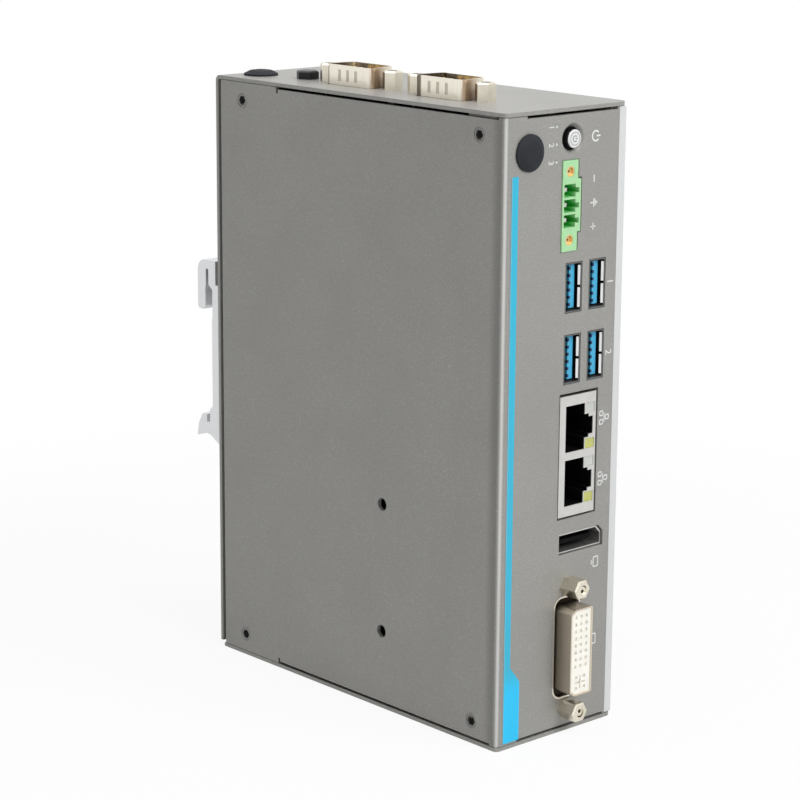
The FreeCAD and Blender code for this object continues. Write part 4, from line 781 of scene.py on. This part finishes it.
marks = {"thick": 0.03 * mm, "line": 0.34 * mm,
         "power": {"shift": 8.2 * mm, "size": 1.25 * mm, "line": 0.42 * mm},
         "button": {"size": 0.72 * mm, "line": 0.24 * mm},
         "poles": {"shift": 4.9 * mm, "pitch": 6.096 * mm, "signSize": 0.9 * mm,
                   "earthSize": 1 * mm},
         "network": {"shift": 3.3 * mm, "size": 0.95 * mm, "line": 0.342 * mm,
                     "levels": (0.76, 0.25)},
         "display": {"shift": -2.4 * mm, "drop": 4.4 * mm, "size": 1.3 * mm},
         "dvi": {"shift": 3.6 * mm, "size": 1.3 * mm},
         "light": {"shift": -2.0 * mm, "levels": (3.3 * mm, -1.1 * mm, -5.5 * mm),
                   "size": 1.7 * mm},
         "usb": {"shift": 1.5 * mm, "size": 2.1 * mm}}


def symbolShapes(kind, x, z, size, line=marks["line"], face=frontFace):
    # each line of the symbol as a strip of ink on a face that looks along -y
    return [stripPrism(np.array(path) * size + (x, z), line, face - marks["thick"], face)
            for path in symbols[kind]]


def addMark(name, *symbol):
    addPiece(name, symbolShapes(*symbol), "painted_case", look="whiteInk")


def addNumber(name, number, x, z, height):
    # font outline made a mesh, turned to read downwards, and laid on the front face
    curve = bpy.data.curves.new(name, "FONT")
    curve.body = str(number)
    curve.size = height / 0.7  # the font's digits are 0.7 of its size high
    curve.align_x = "CENTER"
    curve.align_y = "CENTER"
    curve.extrude = marks["thick"] / 2
    holder = bpy.data.objects.new(name + "Curve", curve)
    bpy.context.collection.objects.link(holder)
    bpy.context.view_layer.update()
    mesh = bpy.data.meshes.new_from_object(holder)
    bpy.data.objects.remove(holder)
    turn = Matrix(((0, 1, 0), (0, 0, -1), (-1, 0, 0))).to_4x4()
    mesh.transform(Matrix.Translation((x, frontFace - marks["thick"] / 2, z)) @ turn)
    dressMesh(name, mesh, "painted_case", look="whiteInk")


power, poles, network = marks["power"], marks["poles"], marks["network"]
display, dvi, light, usb = marks["display"], marks["dvi"], marks["light"], marks["usb"]
addMark("powerMark", "power", capX + power["shift"], capZ, power["size"], power["line"])
addPiece("buttonSymbol", symbolShapes("power", capX, capZ, marks["button"]["size"],
                                      marks["button"]["line"], capFace),
         "white_button", "power_button", "greyInkAndShade")
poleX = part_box("terminal_header")[1][0] + poles["shift"]
poleZ = middleOf("terminal_header")[2]
addMark("minusMark", "minus", poleX, poleZ + poles["pitch"], poles["signSize"])
addMark("earthMark", "earth", poleX, poleZ, poles["earthSize"])
addMark("plusMark", "plus", poleX, poleZ - poles["pitch"], poles["signSize"])
for number, level in enumerate(light["levels"], 1):
    addNumber("lightNumber%d" % number, number, middleOf("light_pipe")[0] + light["shift"],
              capZ + level, light["size"])
for number in (1, 2):
    shell = "usb_shell_%d" % number
    addNumber("usbNumber%d" % number, number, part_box(shell)[1][0] + usb["shift"],
              middleOf(shell)[2], usb["size"])
lanLow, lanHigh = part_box("lan_shield")
for number, share in enumerate(network["levels"], 1):
    addMark("networkMark%d" % number, "network", lanHigh[0] + network["shift"],
            lanLow[2] + (lanHigh[2] - lanLow[2]) * share, network["size"], network["line"])
displayLow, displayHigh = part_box("display_shell")
addMark("displayMark", "screen", displayHigh[0] + display["shift"],
        displayLow[2] - display["drop"], display["size"])
addMark("dviMark", "screen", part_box("dvi_insulator")[1][0] + dvi["shift"],
        middleOf("dvi_shell")[2], dvi["size"])
print("marks: done")


# Floor, light and camera. The floor is lifted towards white where it is seen, by lift under the
# object and wholly past fade, so that it keeps the object's shadow.

stage = {"floorTone": 0.86, "size": 6.0, "fade": 0.34, "lift": 0.9, "worldLight": 0.16}
lamps = {"keyLamp": {"place": (0.1, -0.75, 0.72), "aim": (0, 0, 0.12), "size": (0.6, 0.5),
                     "power": 6.3},
         "topLamp": {"place": (-0.1, 0, 1.1), "aim": (0, 0, 0.1), "size": (1, 1), "power": 7},
         "edgeLamp": {"place": (-0.95, -1.05, 0.45), "aim": (0, 0, 0.09), "size": (0.16, 1.2),
                      "power": 0.5},
         "bendLamp": {"place": (-0.36, -0.38, 0.03), "aim": (-0.02, -0.056, 0.08),
                      "size": (0.05, 0.1), "power": 0.12}}
camera = {"target": (-55.37 * mm, -56.45 * mm, 97.67 * mm), "azimuth": -42.19,
          "elevation": 13.38, "roll": 0.4, "distance": 604.81 * mm, "lens": 114.69,
          "sensor": 36, "nearest": 0.01}


def makeFloorPaint():
    finish = Finish("floorPaint")
    tone = stage["floorTone"]
    x, y, z = finish.axes()
    away = finish.within(x * x + y * y, 0.0, stage["fade"] ** 2)
    share = finish.seenDirectly() * (stage["lift"] + away * (1 - stage["lift"]))
    paint = finish.node("BsdfDiffuse", {}, {"Color": (tone, tone, tone, 1)})
    white = finish.node("Emission", {}, {"Color": (1, 1, 1, 1), "Strength": 1.0})
    both = finish.node("MixShader", {}, {0: share, 1: paint, 2: white})
    finish.node("OutputMaterial", {}, {"Surface": both})
    return finish.data


def addFloor():
    size = stage["size"]
    mesh = bpy.data.meshes.new("floor")
    mesh.from_pydata([(-size, -size, 0), (size, -size, 0), (size, size, 0), (-size, size, 0)],
                     [], [(0, 1, 2, 3)])
    floor = bpy.data.objects.new("floor", mesh)
    bpy.context.collection.objects.link(floor)
    mesh.materials.append(makeFloorPaint())


def addLamp(name, place, aim, size, power):
    lamp = bpy.data.lights.new(name, "AREA")
    lamp.shape = "RECTANGLE"
    lamp.size, lamp.size_y = size
    lamp.energy = power
    holder = bpy.data.objects.new(name, lamp)
    bpy.context.collection.objects.link(holder)
    holder.location = place
    holder.rotation_euler = (Vector(aim) - Vector(place)).to_track_quat("-Z", "Y").to_euler()


def addWorld():
    # soft light on the object, and plain white where the camera, metal or glass sees it
    world = Finish("studio", "worlds")
    soft, white = [world.node("Background", {}, {"Color": (1, 1, 1, 1), "Strength": strength})
                   for strength in (stage["worldLight"], 1.0)]
    both = world.node("MixShader", {}, {0: world.seenDirectly(), 1: soft, 2: white})
    world.node("OutputWorld", {}, {"Surface": both})
    bpy.context.scene.world = world.data


def addCamera():
    # back = (sin a cos e, -cos a cos e, sin e); the camera looks along -back, then rolls
    turn, rise, roll = (math.radians(camera[key]) for key in ("azimuth", "elevation", "roll"))
    back = Vector((math.sin(turn) * math.cos(rise), -math.cos(turn) * math.cos(rise),
                   math.sin(rise)))
    right = (-back).cross(Vector((0, 0, 1))).normalized()
    up = right.cross(-back)
    rolledRight = right * math.cos(roll) + up * math.sin(roll)
    rolledUp = up * math.cos(roll) - right * math.sin(roll)
    data = bpy.data.cameras.new("camera")
    data.lens = camera["lens"]
    data.sensor_width = camera["sensor"]
    data.clip_start = camera["nearest"]
    holder = bpy.data.objects.new("camera", data)
    bpy.context.collection.objects.link(holder)
    basis = Matrix((rolledRight, rolledUp, back)).transposed().to_4x4()
    holder.matrix_world = Matrix.Translation(
        Vector(camera["target"]) + back * camera["distance"]) @ basis
    bpy.context.scene.camera = holder


addFloor()
for name, lamp in lamps.items():
    addLamp(name, **lamp)
addWorld()
addCamera()
bpy.context.scene.view_settings.view_transform = "Standard"
print("stage: lamps and camera set")
